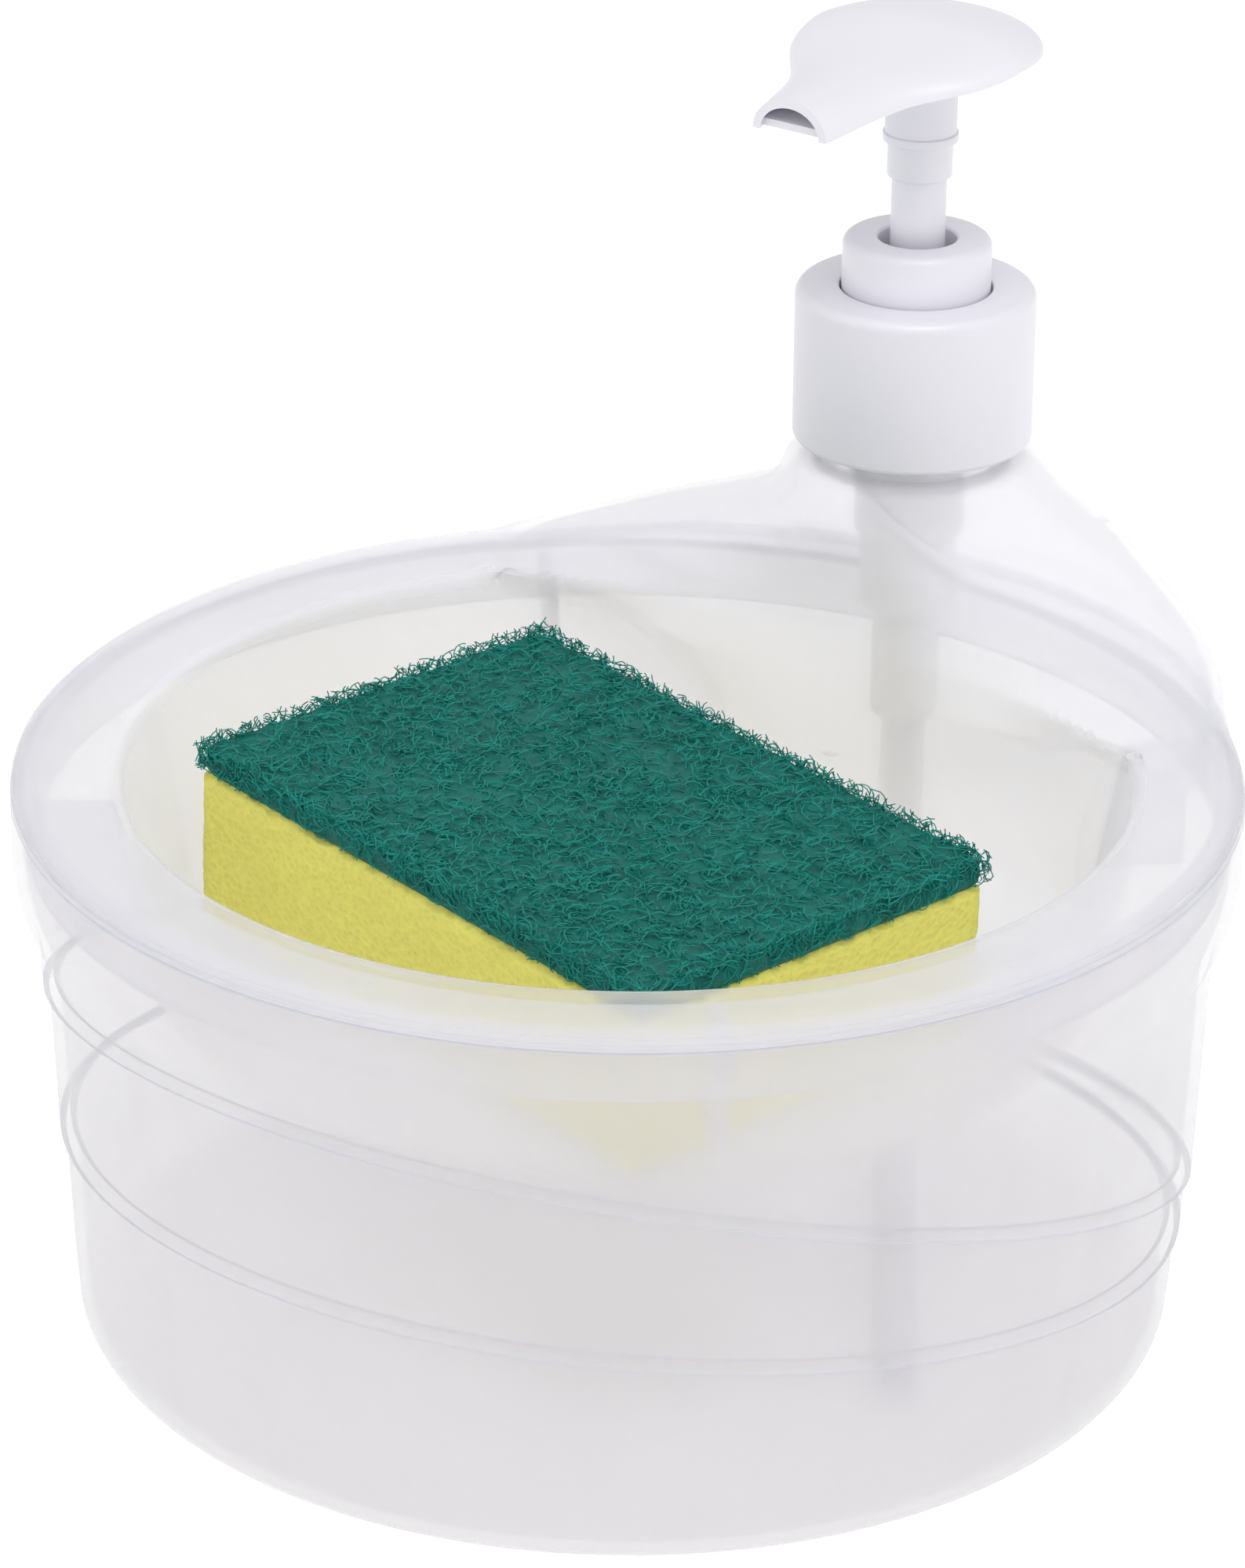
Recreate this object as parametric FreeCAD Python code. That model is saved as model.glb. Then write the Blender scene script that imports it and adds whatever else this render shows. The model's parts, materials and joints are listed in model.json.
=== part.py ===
import FreeCAD, Part
import math
import os

# A soap pump caddy: a round reservoir bowl, a tray with a sponge dish and a raised boss for a lotion pump,
# and a two-layer sponge. Sizes are in millimetres and angles in degrees. The origin is the middle of the
# bowl's underside, +Z is up, and the pump stands on the +Y side.

# Reservoir bowl
RIM_RADIUS = 81.0
BOWL_HEIGHT = 76.3
BOWL_WALL = 1.5
BOWL_FLOOR = 1.8
BASE_CORNER = 4.0
RIM_BAND = 7.3
FLARE_HEIGHT = 11.2
FLARE_REACH = 3.1
WALL_DRAFT = 2.3
WALL_STEP = 0.8
UPPER_STEP_HEIGHT = 33.3
UPPER_STEP_SLOPE = 16.7
LOWER_STEP_HEIGHT = 19.9
LOWER_STEP_SLOPE = 8.65
SEAM_ROUND = 0.4

# Sponge tray
TRAY_WALL = 1.6
TRAY_RISE = 3.7
RIM_ROUND = 3.2
RIM_WIDTH = 14.5
RIM_FALL = 2.4
DISH_EDGE_ROUND = 0.7
DISH_DEPTH = 31.5
DISH_TAPER = 5.5
DISH_CORNER = 6.5
PLUG_DEPTH = 7.7
PLUG_CLEARANCE = 0.3
RIB_COUNT = 4
RIB_THICKNESS = 1.2
RIB_DEPTH = 18.0
RIB_CLEARANCE = 0.7

# Pump boss of the tray
PUMP_INSET = 15.0
BOSS_RISE = 21.5
BOSS_RADIUS = 16.7
BOSS_SHOULDER_DROP = 6.5
BOSS_SHOULDER_REACH = 20.0
BOSS_SHOULDER_BACK = 23.8
BOSS_FLANK_RISE = 8.0
BOSS_FLANK_REACH = 31.2
BOSS_FLANK_BACK = 25.5
BOSS_FOOT_RISE = 2.0
BOSS_FOOT_REACH = 48.0
BOSS_FOOT_BACK = 20.3
BOSS_FOOT_BEND = 0.6
BOSS_ROOT_DROP = 1.0
BOSS_ROOT_REACH = 58.0
BOSS_ROOT_BACK = 19.8
BOSS_HIP_DROP = 8.5
BOSS_HIP_REACH = 40.5
BOSS_THROAT_DROP = 19.0
BOSS_THROAT_REACH = 31.5
BOSS_FLOOR_REACH = 38.0
BOSS_FLOOR_FRONT = 20.5
BOSS_FRONT = 19.0
BOSS_SQUARENESS = 2.5
BOSS_BANDS = 26
BOSS_SECTION_POINTS = 16
NECK_DIAMETER = 27.4
NECK_BORE = 22.0

# Screw collar and lock ring
COLLAR_DIAMETER = 33.0
COLLAR_HEIGHT = 21.8
COLLAR_GAP = 2.0
COLLAR_TOP = 2.0
COLLAR_ROUND = 1.4
THREAD_CLEARANCE = 0.3
LOCK_RING_DIAMETER = 20.4
LOCK_RING_RISE = 7.0
LOCK_RING_ROUND = 1.2
LOCK_RING_CLEARANCE = 0.3
LOCK_RING_BORE = 10.7
LOCK_FLOOR_GAP = 0.7
GUIDE_LENGTH = 20.3
GUIDE_CLEARANCE = 0.2

# Pump housing, from the flange down
FLANGE_DIAMETER = 26.6
FLANGE_THICKNESS = 2.0
GASKET_THICKNESS = 1.2
GASKET_INSET = 0.2
UPPER_SLEEVE_DIAMETER = 15.3
UPPER_SLEEVE_LENGTH = 32.3
LOWER_SLEEVE_DIAMETER = 13.4
LOWER_SLEEVE_LENGTH = 12.0
VALVE_DIAMETER = 9.4
VALVE_LENGTH = 15.0
CHAMBER_BORE = 11.0
CHAMBER_DEPTH = 44.3
VALVE_BORE = 7.0
VALVE_BORE_DEPTH = 7.5
SEAT_BORE = 3.2
SEAT_HEIGHT = 2.0
SOCKET_DEPTH = 6.5
CAGE_RIB_COUNT = 3
CAGE_RIB_REACH = 1.4
CAGE_RIB_WIDTH = 1.0
CAGE_RIB_HEIGHT = 1.4
SLANT_RIB_TOP_DROP = 21.5
SLANT_RIB_HEIGHT = 20.0
SLANT_RIB_TURN = 180.0
SLANT_RIB_START = 216.5
SLANT_RIB_WIDTH = 2.0
SLANT_RIB_STAND = 0.7
SLANT_RIB_SPANS = 8
BALL_DIAMETER = 5.0
BALL_CLEARANCE = 0.05

# Plunger
STROKE = 14.0
STEM_DIAMETER = 7.5
STEM_BORE = 3.8
STEM_SHOWN = 8.7
STEM_TOP_GAP = 0.6
STEM_TAIL_DIAMETER = 6.4
STEM_TAIL_LENGTH = 8.0
PISTON_GAP = 0.3
PISTON_LENGTH = 9.4
PISTON_LIP = 1.4
PISTON_WAIST = 0.8
PISTON_CLEARANCE = 0.05
PISTON_BORE_CLEARANCE = 0.1
PLUG_HEAD_DIAMETER = 9.0
PLUG_HEAD_HEIGHT = 1.6
PLUG_PIN_LENGTH = 6.0
PLUG_PIN_CLEARANCE = 0.05
FIT_CLEARANCE = 0.05

# Return spring
SPRING_DIAMETER = 9.4
SPRING_WIRE = 0.8
SPRING_TURNS = 6

# Pump head
SLEEVE_DIAMETER = 8.9
SLEEVE_LENGTH = 18.4
SLEEVE_UPPER_DIAMETER = 9.8
SLEEVE_BEAD_DIAMETER = 10.3
SLEEVE_BEAD_WIDTH = 1.3
SLEEVE_BEAD_HEIGHT = 5.0
HEAD_RADIUS = 17.0
HEAD_OFFSET = 1.7
HEAD_RISE = 4.4
HEAD_WALL = 1.2
HEAD_LEAN = 23.2
HEAD_BACK_TURNS = (-84, -62, -40, -18)
HEAD_ARCH_SPANS = 8
NECK_REACH = 18.2
NECK_HALF_WIDTH = 9.3
NECK_RISE = 3.9
SPOUT_REACH = 31.5
SPOUT_HALF_WIDTH = 5.8
SPOUT_RISE = 4.8
SPOUT_DROOP = 4.5
SPOUT_WALL = 1.0
SPOUT_CLOSED_LENGTH = 9.0

# Dip tube
TUBE_DIAMETER = 6.2
TUBE_BORE = 4.2
TUBE_BEND_RADIUS = 40.0
TUBE_REACH = 90.0
TUBE_HEADING = 34.0
TUBE_FLOOR_GAP = 0.4

# Sponge
SPONGE_MARGIN = 7.46
SPONGE_SLIMNESS = 0.693
FOAM_HEIGHT = 22.0
PAD_HEIGHT = 4.2
SPONGE_CORNER = 3.0
SPONGE_YAW = -11.8
SPONGE_TILT = 2.85
SPONGE_X = -2.4
SPONGE_Y = -6.9
SPONGE_SEAT_GAP = 0.3

# Heights and places that follow from the sizes above
FLARE_TOP = BOWL_HEIGHT - RIM_BAND
WALL_TOP = FLARE_TOP - FLARE_HEIGHT
WALL_TOP_RADIUS = RIM_RADIUS - FLARE_REACH
TRAY_TOP = BOWL_HEIGHT + TRAY_RISE
DISH_RADIUS = RIM_RADIUS - RIM_WIDTH
DISH_EDGE_HEIGHT = TRAY_TOP - RIM_FALL
DISH_FLOOR_HEIGHT = DISH_EDGE_HEIGHT - DISH_DEPTH
DISH_FLOOR_RADIUS = DISH_RADIUS - DISH_TAPER
SPONGE_LENGTH = 2 * (DISH_FLOOR_RADIUS - SPONGE_MARGIN) / math.hypot(1, SPONGE_SLIMNESS)
SPONGE_WIDTH = SPONGE_LENGTH * SPONGE_SLIMNESS
DISH_UNDERSIDE = DISH_FLOOR_HEIGHT - TRAY_WALL
PLUG_OUTER_RADIUS = RIM_RADIUS - BOWL_WALL - PLUG_CLEARANCE
PLUG_INNER_RADIUS = PLUG_OUTER_RADIUS - TRAY_WALL
PLUG_BOTTOM = BOWL_HEIGHT - PLUG_DEPTH
PUMP_Y = RIM_RADIUS - PUMP_INSET
PLATFORM = TRAY_TOP + BOSS_RISE
BOSS_ROOT = TRAY_TOP - BOSS_ROOT_DROP
COLLAR_BOTTOM = PLATFORM + COLLAR_GAP
COLLAR_TOP_HEIGHT = COLLAR_BOTTOM + COLLAR_HEIGHT
COLLAR_BORE = NECK_DIAMETER + 2 * THREAD_CLEARANCE
FLANGE_TOP = COLLAR_TOP_HEIGHT - COLLAR_TOP
FLANGE_BOTTOM = FLANGE_TOP - FLANGE_THICKNESS
NECK_TOP = FLANGE_BOTTOM - GASKET_THICKNESS
LOCK_RING_TOP = COLLAR_TOP_HEIGHT + LOCK_RING_RISE
GUIDE_BORE = STEM_DIAMETER + 2 * GUIDE_CLEARANCE
GUIDE_BOTTOM = LOCK_RING_TOP - GUIDE_LENGTH
UPPER_SLEEVE_BOTTOM = FLANGE_BOTTOM - UPPER_SLEEVE_LENGTH
LOWER_SLEEVE_BOTTOM = UPPER_SLEEVE_BOTTOM - LOWER_SLEEVE_LENGTH
HOUSING_BOTTOM = LOWER_SLEEVE_BOTTOM - VALVE_LENGTH
CHAMBER_FLOOR = FLANGE_TOP - CHAMBER_DEPTH
SEAT_TOP = CHAMBER_FLOOR - VALVE_BORE_DEPTH
SEAT_BOTTOM = SEAT_TOP - SEAT_HEIGHT
SOCKET_TOP = HOUSING_BOTTOM + SOCKET_DEPTH
PISTON_TOP = GUIDE_BOTTOM - PISTON_GAP
PISTON_BOTTOM = PISTON_TOP - PISTON_LENGTH
PLUG_HEAD_BOTTOM = PISTON_BOTTOM - PLUG_HEAD_HEIGHT
STEM_BOTTOM = PISTON_TOP - STEM_TAIL_LENGTH
SLEEVE_BOTTOM = LOCK_RING_TOP + STEM_SHOWN
HEAD_EDGE = SLEEVE_BOTTOM + SLEEVE_LENGTH
STEM_TOP = HEAD_EDGE - STEM_TOP_GAP


def rounded_face(points):
    """A face in the XZ plane from (x, z) corners, each with a rounding radius where a third number is given."""
    corners = []
    count = len(points)
    for index, point in enumerate(points):
        here = FreeCAD.Vector(point[0], 0, point[1])
        if len(point) == 2:
            corners.append((here, None, here))
            continue
        before = FreeCAD.Vector(points[index - 1][0], 0, points[index - 1][1])
        after = FreeCAD.Vector(points[(index + 1) % count][0], 0, points[(index + 1) % count][1])
        back = (before - here).normalize()
        ahead = (after - here).normalize()
        half_angle = back.getAngle(ahead) / 2
        reach = point[2] / math.tan(half_angle)
        inward = (back + ahead).normalize() * (point[2] / math.sin(half_angle) - point[2])
        corners.append((here + back * reach, here + inward, here + ahead * reach))
    edges = []
    for index, (start, middle, end) in enumerate(corners):
        if middle is not None:
            edges.append(Part.Arc(start, middle, end).toShape())
        following = corners[(index + 1) % count][0]
        if (following - end).Length > 1e-6:
            edges.append(Part.LineSegment(end, following).toShape())
    return Part.Face(Part.Wire(edges))


def turned(points, y=0.0):
    """A solid of revolution about the vertical line at (0, y)."""
    solid = rounded_face(points).revolve(FreeCAD.Vector(0, 0, 0), FreeCAD.Vector(0, 0, 1), 360)
    return solid.translated(FreeCAD.Vector(0, y, 0))


def ring(inner, outer, bottom, top, y=0.0):
    """A plain ring about the vertical line at (0, y)."""
    return turned([(inner, bottom), (outer, bottom), (outer, top), (inner, top)], y)


def cylinder(radius, bottom, top, y=0.0):
    """An upright cylinder about the vertical line at (0, y)."""
    return Part.makeCylinder(radius, top - bottom, FreeCAD.Vector(0, y, bottom))


def one_solid(shape):
    """The single solid of a boolean result, with its faces merged."""
    return shape.removeSplitter().Solids[0]


def above_slope(height, slope):
    """Everything above a plane that falls towards +Y."""
    reach = 2 * RIM_RADIUS
    fall = math.tan(math.radians(slope)) * reach
    high = 3 * BOWL_HEIGHT
    corners = [(-reach, height + fall), (reach, height - fall), (reach, high), (-reach, high)]
    outline = [FreeCAD.Vector(-reach, y, z) for y, z in corners]
    return Part.Face(Part.makePolygon(outline + outline[:1])).extrude(FreeCAD.Vector(2 * reach, 0, 0))


def bowl_form(inset, floor, corner, top):
    """The bowl's outside, or with an inset its cavity: three drafted walls that step in below slanting lines."""

    def wall_radius(height, steps):
        drawn_in = math.tan(math.radians(WALL_DRAFT)) * (WALL_TOP - height)
        return WALL_TOP_RADIUS - inset - drawn_in - steps * WALL_STEP

    form = turned([
        (0, floor),
        (wall_radius(floor, 2), floor, corner),
        (wall_radius(WALL_TOP, 2), WALL_TOP),
        (0, WALL_TOP),
    ])
    steps = ((1, LOWER_STEP_HEIGHT, LOWER_STEP_SLOPE), (0, UPPER_STEP_HEIGHT, UPPER_STEP_SLOPE))
    for count, height, slope in steps:
        wall = Part.makeCone(
            wall_radius(floor, count), wall_radius(WALL_TOP, count), WALL_TOP - floor, FreeCAD.Vector(0, 0, floor))
        form = form.fuse(wall.common(above_slope(height + inset, slope)))

    flare_radius = (FLARE_REACH ** 2 + FLARE_HEIGHT ** 2) / (2 * FLARE_REACH)
    half_turn = math.asin(FLARE_HEIGHT / flare_radius) / 2
    outer = RIM_RADIUS - inset
    start = FreeCAD.Vector(outer - FLARE_REACH, 0, WALL_TOP)
    middle = FreeCAD.Vector(
        outer - flare_radius * (1 - math.cos(half_turn)), 0, FLARE_TOP - flare_radius * math.sin(half_turn))
    end = FreeCAD.Vector(outer, 0, FLARE_TOP)
    rest = [end, FreeCAD.Vector(outer, 0, top), FreeCAD.Vector(0, 0, top), FreeCAD.Vector(0, 0, WALL_TOP), start]
    outline = Part.Wire([Part.Arc(start, middle, end).toShape()] + Part.makePolygon(rest).Edges)
    band = Part.Face(outline).revolve(FreeCAD.Vector(0, 0, 0), FreeCAD.Vector(0, 0, 1), 360)
    return form.fuse(band).removeSplitter()


def reservoir_bowl():
    outside = bowl_form(0, 0, BASE_CORNER, BOWL_HEIGHT)
    cavity = bowl_form(BOWL_WALL, BOWL_FLOOR, BASE_CORNER - BOWL_WALL, BOWL_HEIGHT + BOWL_WALL)
    bowl = outside.cut(cavity)
    lip = [edge for edge in bowl.Edges if abs(edge.BoundBox.ZMin - BOWL_HEIGHT) < 1e-4]
    return one_solid(bowl.makeFillet(SEAM_ROUND, lip))


def rim_height(radius):
    """Height of the rim's top skin, which falls towards the dish."""
    return TRAY_TOP - RIM_FALL * (RIM_RADIUS - radius) / RIM_WIDTH


def boss_section(height, reach, back, front, squareness, bend):
    """A closed curve about the pump's axis: a squarish oval, bent along the rim where bend is 1."""
    points = []
    power = 2 / squareness
    for step in range(BOSS_SECTION_POINTS):
        turn = 2 * math.pi * step / BOSS_SECTION_POINTS
        cosine, sine = math.cos(turn), math.sin(turn)
        along = reach * math.copysign(abs(cosine) ** power, cosine)
        across = (back if sine > 0 else front) * math.copysign(abs(sine) ** power, sine)
        angle = along / PUMP_Y
        bent = FreeCAD.Vector((PUMP_Y + across) * math.sin(angle), (PUMP_Y + across) * math.cos(angle), height)
        straight = FreeCAD.Vector(along, PUMP_Y + across, height)
        points.append(straight * (1 - bend) + bent * bend)
    curve = Part.BSplineCurve()
    curve.interpolate(points, True)
    return Part.Wire(curve.toShape())


def between(stops, height):
    """The values at a height, read off straight lines between stops of (height, values)."""
    for (low, below), (high, above) in zip(stops, stops[1:]):
        if height <= high:
            break
    share = min(max((height - low) / (high - low), 0), 1)
    return [first + (second - first) * share for first, second in zip(below, above)]


def boss_form(inset, bottom):
    """The raised boss: flared from the platform to the rim, then a waisted column down into the dish."""
    flank_line = Part.BSplineCurve()
    flank_line.interpolate([
        FreeCAD.Vector(BOSS_FLOOR_REACH, 0, bottom),
        FreeCAD.Vector(BOSS_THROAT_REACH, 0, TRAY_TOP - BOSS_THROAT_DROP),
        FreeCAD.Vector(BOSS_HIP_REACH, 0, TRAY_TOP - BOSS_HIP_DROP),
        FreeCAD.Vector(BOSS_ROOT_REACH, 0, BOSS_ROOT),
        FreeCAD.Vector(BOSS_FOOT_REACH, 0, TRAY_TOP + BOSS_FOOT_RISE),
        FreeCAD.Vector(BOSS_FLANK_REACH, 0, TRAY_TOP + BOSS_FLANK_RISE),
        FreeCAD.Vector(BOSS_SHOULDER_REACH, 0, PLATFORM - BOSS_SHOULDER_DROP),
        FreeCAD.Vector(BOSS_RADIUS, 0, PLATFORM),
    ])
    stops = (
        (bottom, (BOSS_ROOT_BACK, BOSS_FLOOR_FRONT, BOSS_SQUARENESS, 1)),
        (TRAY_TOP - BOSS_THROAT_DROP, (BOSS_ROOT_BACK, BOSS_FRONT, BOSS_SQUARENESS, 1)),
        (BOSS_ROOT, (BOSS_ROOT_BACK, BOSS_FRONT, BOSS_SQUARENESS, 1)),
        (TRAY_TOP + BOSS_FOOT_RISE, (BOSS_FOOT_BACK, BOSS_FRONT, BOSS_SQUARENESS, BOSS_FOOT_BEND)),
        (TRAY_TOP + BOSS_FLANK_RISE, (BOSS_FLANK_BACK, BOSS_FRONT, BOSS_SQUARENESS, 0)),
        (PLATFORM - BOSS_SHOULDER_DROP, (BOSS_SHOULDER_BACK, BOSS_FRONT, 2, 0)),
        (PLATFORM, (BOSS_RADIUS, BOSS_RADIUS, 2, 0)),
    )
    first, last = flank_line.FirstParameter, flank_line.LastParameter
    sections = []
    for step in range(BOSS_BANDS + 1):
        point = flank_line.value(first + (last - first) * step / BOSS_BANDS)
        back, front, squareness, bend = between(stops, point.z)
        lowered = inset if step == BOSS_BANDS else inset / 2
        sections.append(boss_section(
            point.z - lowered, point.x - inset, back - inset, front - inset, squareness, bend))
    return Part.makeLoft(sections, True, True)


def sponge_tray():
    under = DISH_UNDERSIDE - TRAY_WALL
    wide = RIM_RADIUS + BOSS_FLANK_BACK
    top_skin = turned([
        (0, under),
        (RIM_RADIUS, under),
        (RIM_RADIUS, TRAY_TOP, RIM_ROUND),
        (DISH_RADIUS, DISH_EDGE_HEIGHT, DISH_EDGE_ROUND),
        (DISH_FLOOR_RADIUS, DISH_FLOOR_HEIGHT, DISH_CORNER),
        (0, DISH_FLOOR_HEIGHT),
    ])
    dish_outer = DISH_RADIUS + TRAY_WALL
    under_skin = turned([
        (0, under - TRAY_WALL),
        (PLUG_INNER_RADIUS, under - TRAY_WALL),
        (PLUG_INNER_RADIUS, rim_height(PLUG_INNER_RADIUS) - TRAY_WALL),
        (dish_outer, rim_height(dish_outer) - TRAY_WALL),
        (DISH_FLOOR_RADIUS + TRAY_WALL, DISH_UNDERSIDE, DISH_CORNER + TRAY_WALL),
        (0, DISH_UNDERSIDE),
    ])
    boss_ledge = ring(PLUG_INNER_RADIUS, 2 * wide, under - 2 * TRAY_WALL, BOWL_HEIGHT + TRAY_WALL)
    boss_hollow = boss_form(TRAY_WALL, under - TRAY_WALL).cut(boss_ledge)
    tray = top_skin.fuse(boss_form(0, under)).cut(under_skin).cut(boss_hollow)

    below_plug = ring(PLUG_INNER_RADIUS - TRAY_WALL, wide, under - TRAY_WALL, PLUG_BOTTOM)
    beside_plug = ring(PLUG_OUTER_RADIUS, wide, under - TRAY_WALL, BOWL_HEIGHT)
    tray = tray.cut(below_plug).cut(beside_plug)

    neck = cylinder(NECK_DIAMETER / 2, PLATFORM - TRAY_WALL / 2, NECK_TOP, PUMP_Y)
    bore = cylinder(NECK_BORE / 2, PLATFORM - 2 * TRAY_WALL, NECK_TOP + TRAY_WALL, PUMP_Y)
    tray = tray.fuse(neck).cut(bore)
    for index in range(RIB_COUNT):
        tray = tray.fuse(tray_rib(360 * (index + 0.5) / RIB_COUNT))
    return one_solid(tray)


def tray_rib(angle):
    """A locating rib under the rim, from the dish's wall out to the plug skirt."""
    lowest = BOWL_HEIGHT - RIB_DEPTH
    rib_outer = WALL_TOP_RADIUS - BOWL_WALL - RIB_CLEARANCE
    slope = DISH_TAPER / DISH_DEPTH
    wall_at_lowest = DISH_RADIUS + TRAY_WALL / 2 - slope * (DISH_EDGE_HEIGHT - lowest)
    wall_at_top = DISH_RADIUS + TRAY_WALL / 2
    outline = [
        (wall_at_lowest, lowest),
        (rib_outer, lowest),
        (rib_outer, PLUG_BOTTOM),
        (PLUG_INNER_RADIUS + TRAY_WALL / 2, PLUG_BOTTOM + TRAY_WALL),
        (PLUG_INNER_RADIUS + TRAY_WALL / 2, rim_height(PLUG_INNER_RADIUS) - TRAY_WALL / 2),
        (wall_at_top, rim_height(wall_at_top) - TRAY_WALL / 2),
    ]
    rib = rounded_face(outline).extrude(FreeCAD.Vector(0, RIB_THICKNESS, 0))
    rib.translate(FreeCAD.Vector(0, -RIB_THICKNESS / 2, 0))
    rib.rotate(FreeCAD.Vector(0, 0, 0), FreeCAD.Vector(0, 0, 1), 90 + angle)
    return rib


def screw_collar():
    return turned([
        (COLLAR_BORE / 2, COLLAR_BOTTOM),
        (COLLAR_DIAMETER / 2, COLLAR_BOTTOM),
        (COLLAR_DIAMETER / 2, COLLAR_TOP_HEIGHT, COLLAR_ROUND),
        (LOCK_RING_DIAMETER / 2 + LOCK_RING_CLEARANCE, COLLAR_TOP_HEIGHT),
        (LOCK_RING_DIAMETER / 2 + LOCK_RING_CLEARANCE, FLANGE_TOP),
        (COLLAR_BORE / 2, FLANGE_TOP),
    ], PUMP_Y)


def lock_ring():
    bore_floor = SLEEVE_BOTTOM - STROKE - LOCK_FLOOR_GAP
    sleeve = CHAMBER_BORE / 2 - FIT_CLEARANCE
    return turned([
        (GUIDE_BORE / 2, GUIDE_BOTTOM),
        (sleeve, GUIDE_BOTTOM),
        (sleeve, FLANGE_TOP),
        (LOCK_RING_DIAMETER / 2, FLANGE_TOP),
        (LOCK_RING_DIAMETER / 2, LOCK_RING_TOP, LOCK_RING_ROUND),
        (LOCK_RING_BORE / 2, LOCK_RING_TOP),
        (LOCK_RING_BORE / 2, bore_floor),
        (GUIDE_BORE / 2, bore_floor),
    ], PUMP_Y)


def neck_gasket():
    outer = FLANGE_DIAMETER / 2 - GASKET_INSET
    return ring(UPPER_SLEEVE_DIAMETER / 2 + GASKET_INSET, outer, NECK_TOP, FLANGE_BOTTOM, PUMP_Y)


def slant_rib():
    """The slanting rib round the front of the housing's sleeves."""
    top = FLANGE_BOTTOM - SLANT_RIB_TOP_DROP
    middle_radius = UPPER_SLEEVE_DIAMETER / 2
    sections = []
    for step in range(SLANT_RIB_SPANS + 1):
        share = step / SLANT_RIB_SPANS
        angle = math.radians(SLANT_RIB_START + SLANT_RIB_TURN * share)
        height = top - SLANT_RIB_HEIGHT * share
        out = FreeCAD.Vector(math.cos(angle), math.sin(angle), 0)
        inner = out * (LOWER_SLEEVE_DIAMETER / 2 - SLANT_RIB_STAND)
        outer = out * (middle_radius + SLANT_RIB_STAND)
        base = FreeCAD.Vector(0, PUMP_Y, height)
        rise = FreeCAD.Vector(0, 0, SLANT_RIB_WIDTH)
        corners = [base + inner, base + outer, base + outer + rise, base + inner + rise]
        sections.append(Part.makePolygon(corners + corners[:1]))
    return Part.makeLoft(sections, True, False)


def pump_housing():
    step = (UPPER_SLEEVE_DIAMETER - LOWER_SLEEVE_DIAMETER) / 2
    shoulder = (LOWER_SLEEVE_DIAMETER - VALVE_DIAMETER) / 2
    housing = turned([
        (TUBE_DIAMETER / 2, HOUSING_BOTTOM),
        (VALVE_DIAMETER / 2, HOUSING_BOTTOM),
        (VALVE_DIAMETER / 2, LOWER_SLEEVE_BOTTOM),
        (LOWER_SLEEVE_DIAMETER / 2, LOWER_SLEEVE_BOTTOM + shoulder),
        (LOWER_SLEEVE_DIAMETER / 2, UPPER_SLEEVE_BOTTOM),
        (UPPER_SLEEVE_DIAMETER / 2, UPPER_SLEEVE_BOTTOM + step),
        (UPPER_SLEEVE_DIAMETER / 2, FLANGE_BOTTOM),
        (FLANGE_DIAMETER / 2, FLANGE_BOTTOM),
        (FLANGE_DIAMETER / 2, FLANGE_TOP),
        (CHAMBER_BORE / 2, FLANGE_TOP),
        (CHAMBER_BORE / 2, CHAMBER_FLOOR),
        (VALVE_BORE / 2, CHAMBER_FLOOR),
        (VALVE_BORE / 2, SEAT_TOP),
        (SEAT_BORE / 2, SEAT_BOTTOM),
        (SEAT_BORE / 2, SOCKET_TOP),
        (TUBE_DIAMETER / 2, SOCKET_TOP),
    ], PUMP_Y)
    inside = cylinder(CHAMBER_BORE / 2 + FIT_CLEARANCE, CHAMBER_FLOOR, FLANGE_TOP, PUMP_Y)
    housing = housing.fuse(slant_rib().cut(inside))
    rib_bottom = CHAMBER_FLOOR - CAGE_RIB_HEIGHT
    for index in range(CAGE_RIB_COUNT):
        rib = Part.makeBox(
            CAGE_RIB_REACH + FIT_CLEARANCE, CAGE_RIB_WIDTH, CAGE_RIB_HEIGHT,
            FreeCAD.Vector(VALVE_BORE / 2 - CAGE_RIB_REACH, -CAGE_RIB_WIDTH / 2, rib_bottom))
        rib.rotate(FreeCAD.Vector(0, 0, 0), FreeCAD.Vector(0, 0, 1), 360 * index / CAGE_RIB_COUNT)
        housing = housing.fuse(rib.translated(FreeCAD.Vector(0, PUMP_Y, 0)))
    return one_solid(housing)


def inlet_ball():
    """The ball on its cone seat, at the height where it just clears the cone."""
    spread = (VALVE_BORE - SEAT_BORE) / 2 / SEAT_HEIGHT
    apex = SEAT_BOTTOM - SEAT_BORE / 2 / spread
    height = apex + (BALL_DIAMETER / 2 + BALL_CLEARANCE) / math.sin(math.atan(spread))
    return Part.makeSphere(BALL_DIAMETER / 2, FreeCAD.Vector(0, PUMP_Y, height))


def pump_stem():
    return turned([
        (STEM_BORE / 2, STEM_BOTTOM),
        (STEM_TAIL_DIAMETER / 2, STEM_BOTTOM),
        (STEM_TAIL_DIAMETER / 2, PISTON_TOP),
        (STEM_DIAMETER / 2, PISTON_TOP),
        (STEM_DIAMETER / 2, STEM_TOP),
        (STEM_BORE / 2, STEM_TOP),
    ], PUMP_Y)


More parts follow.
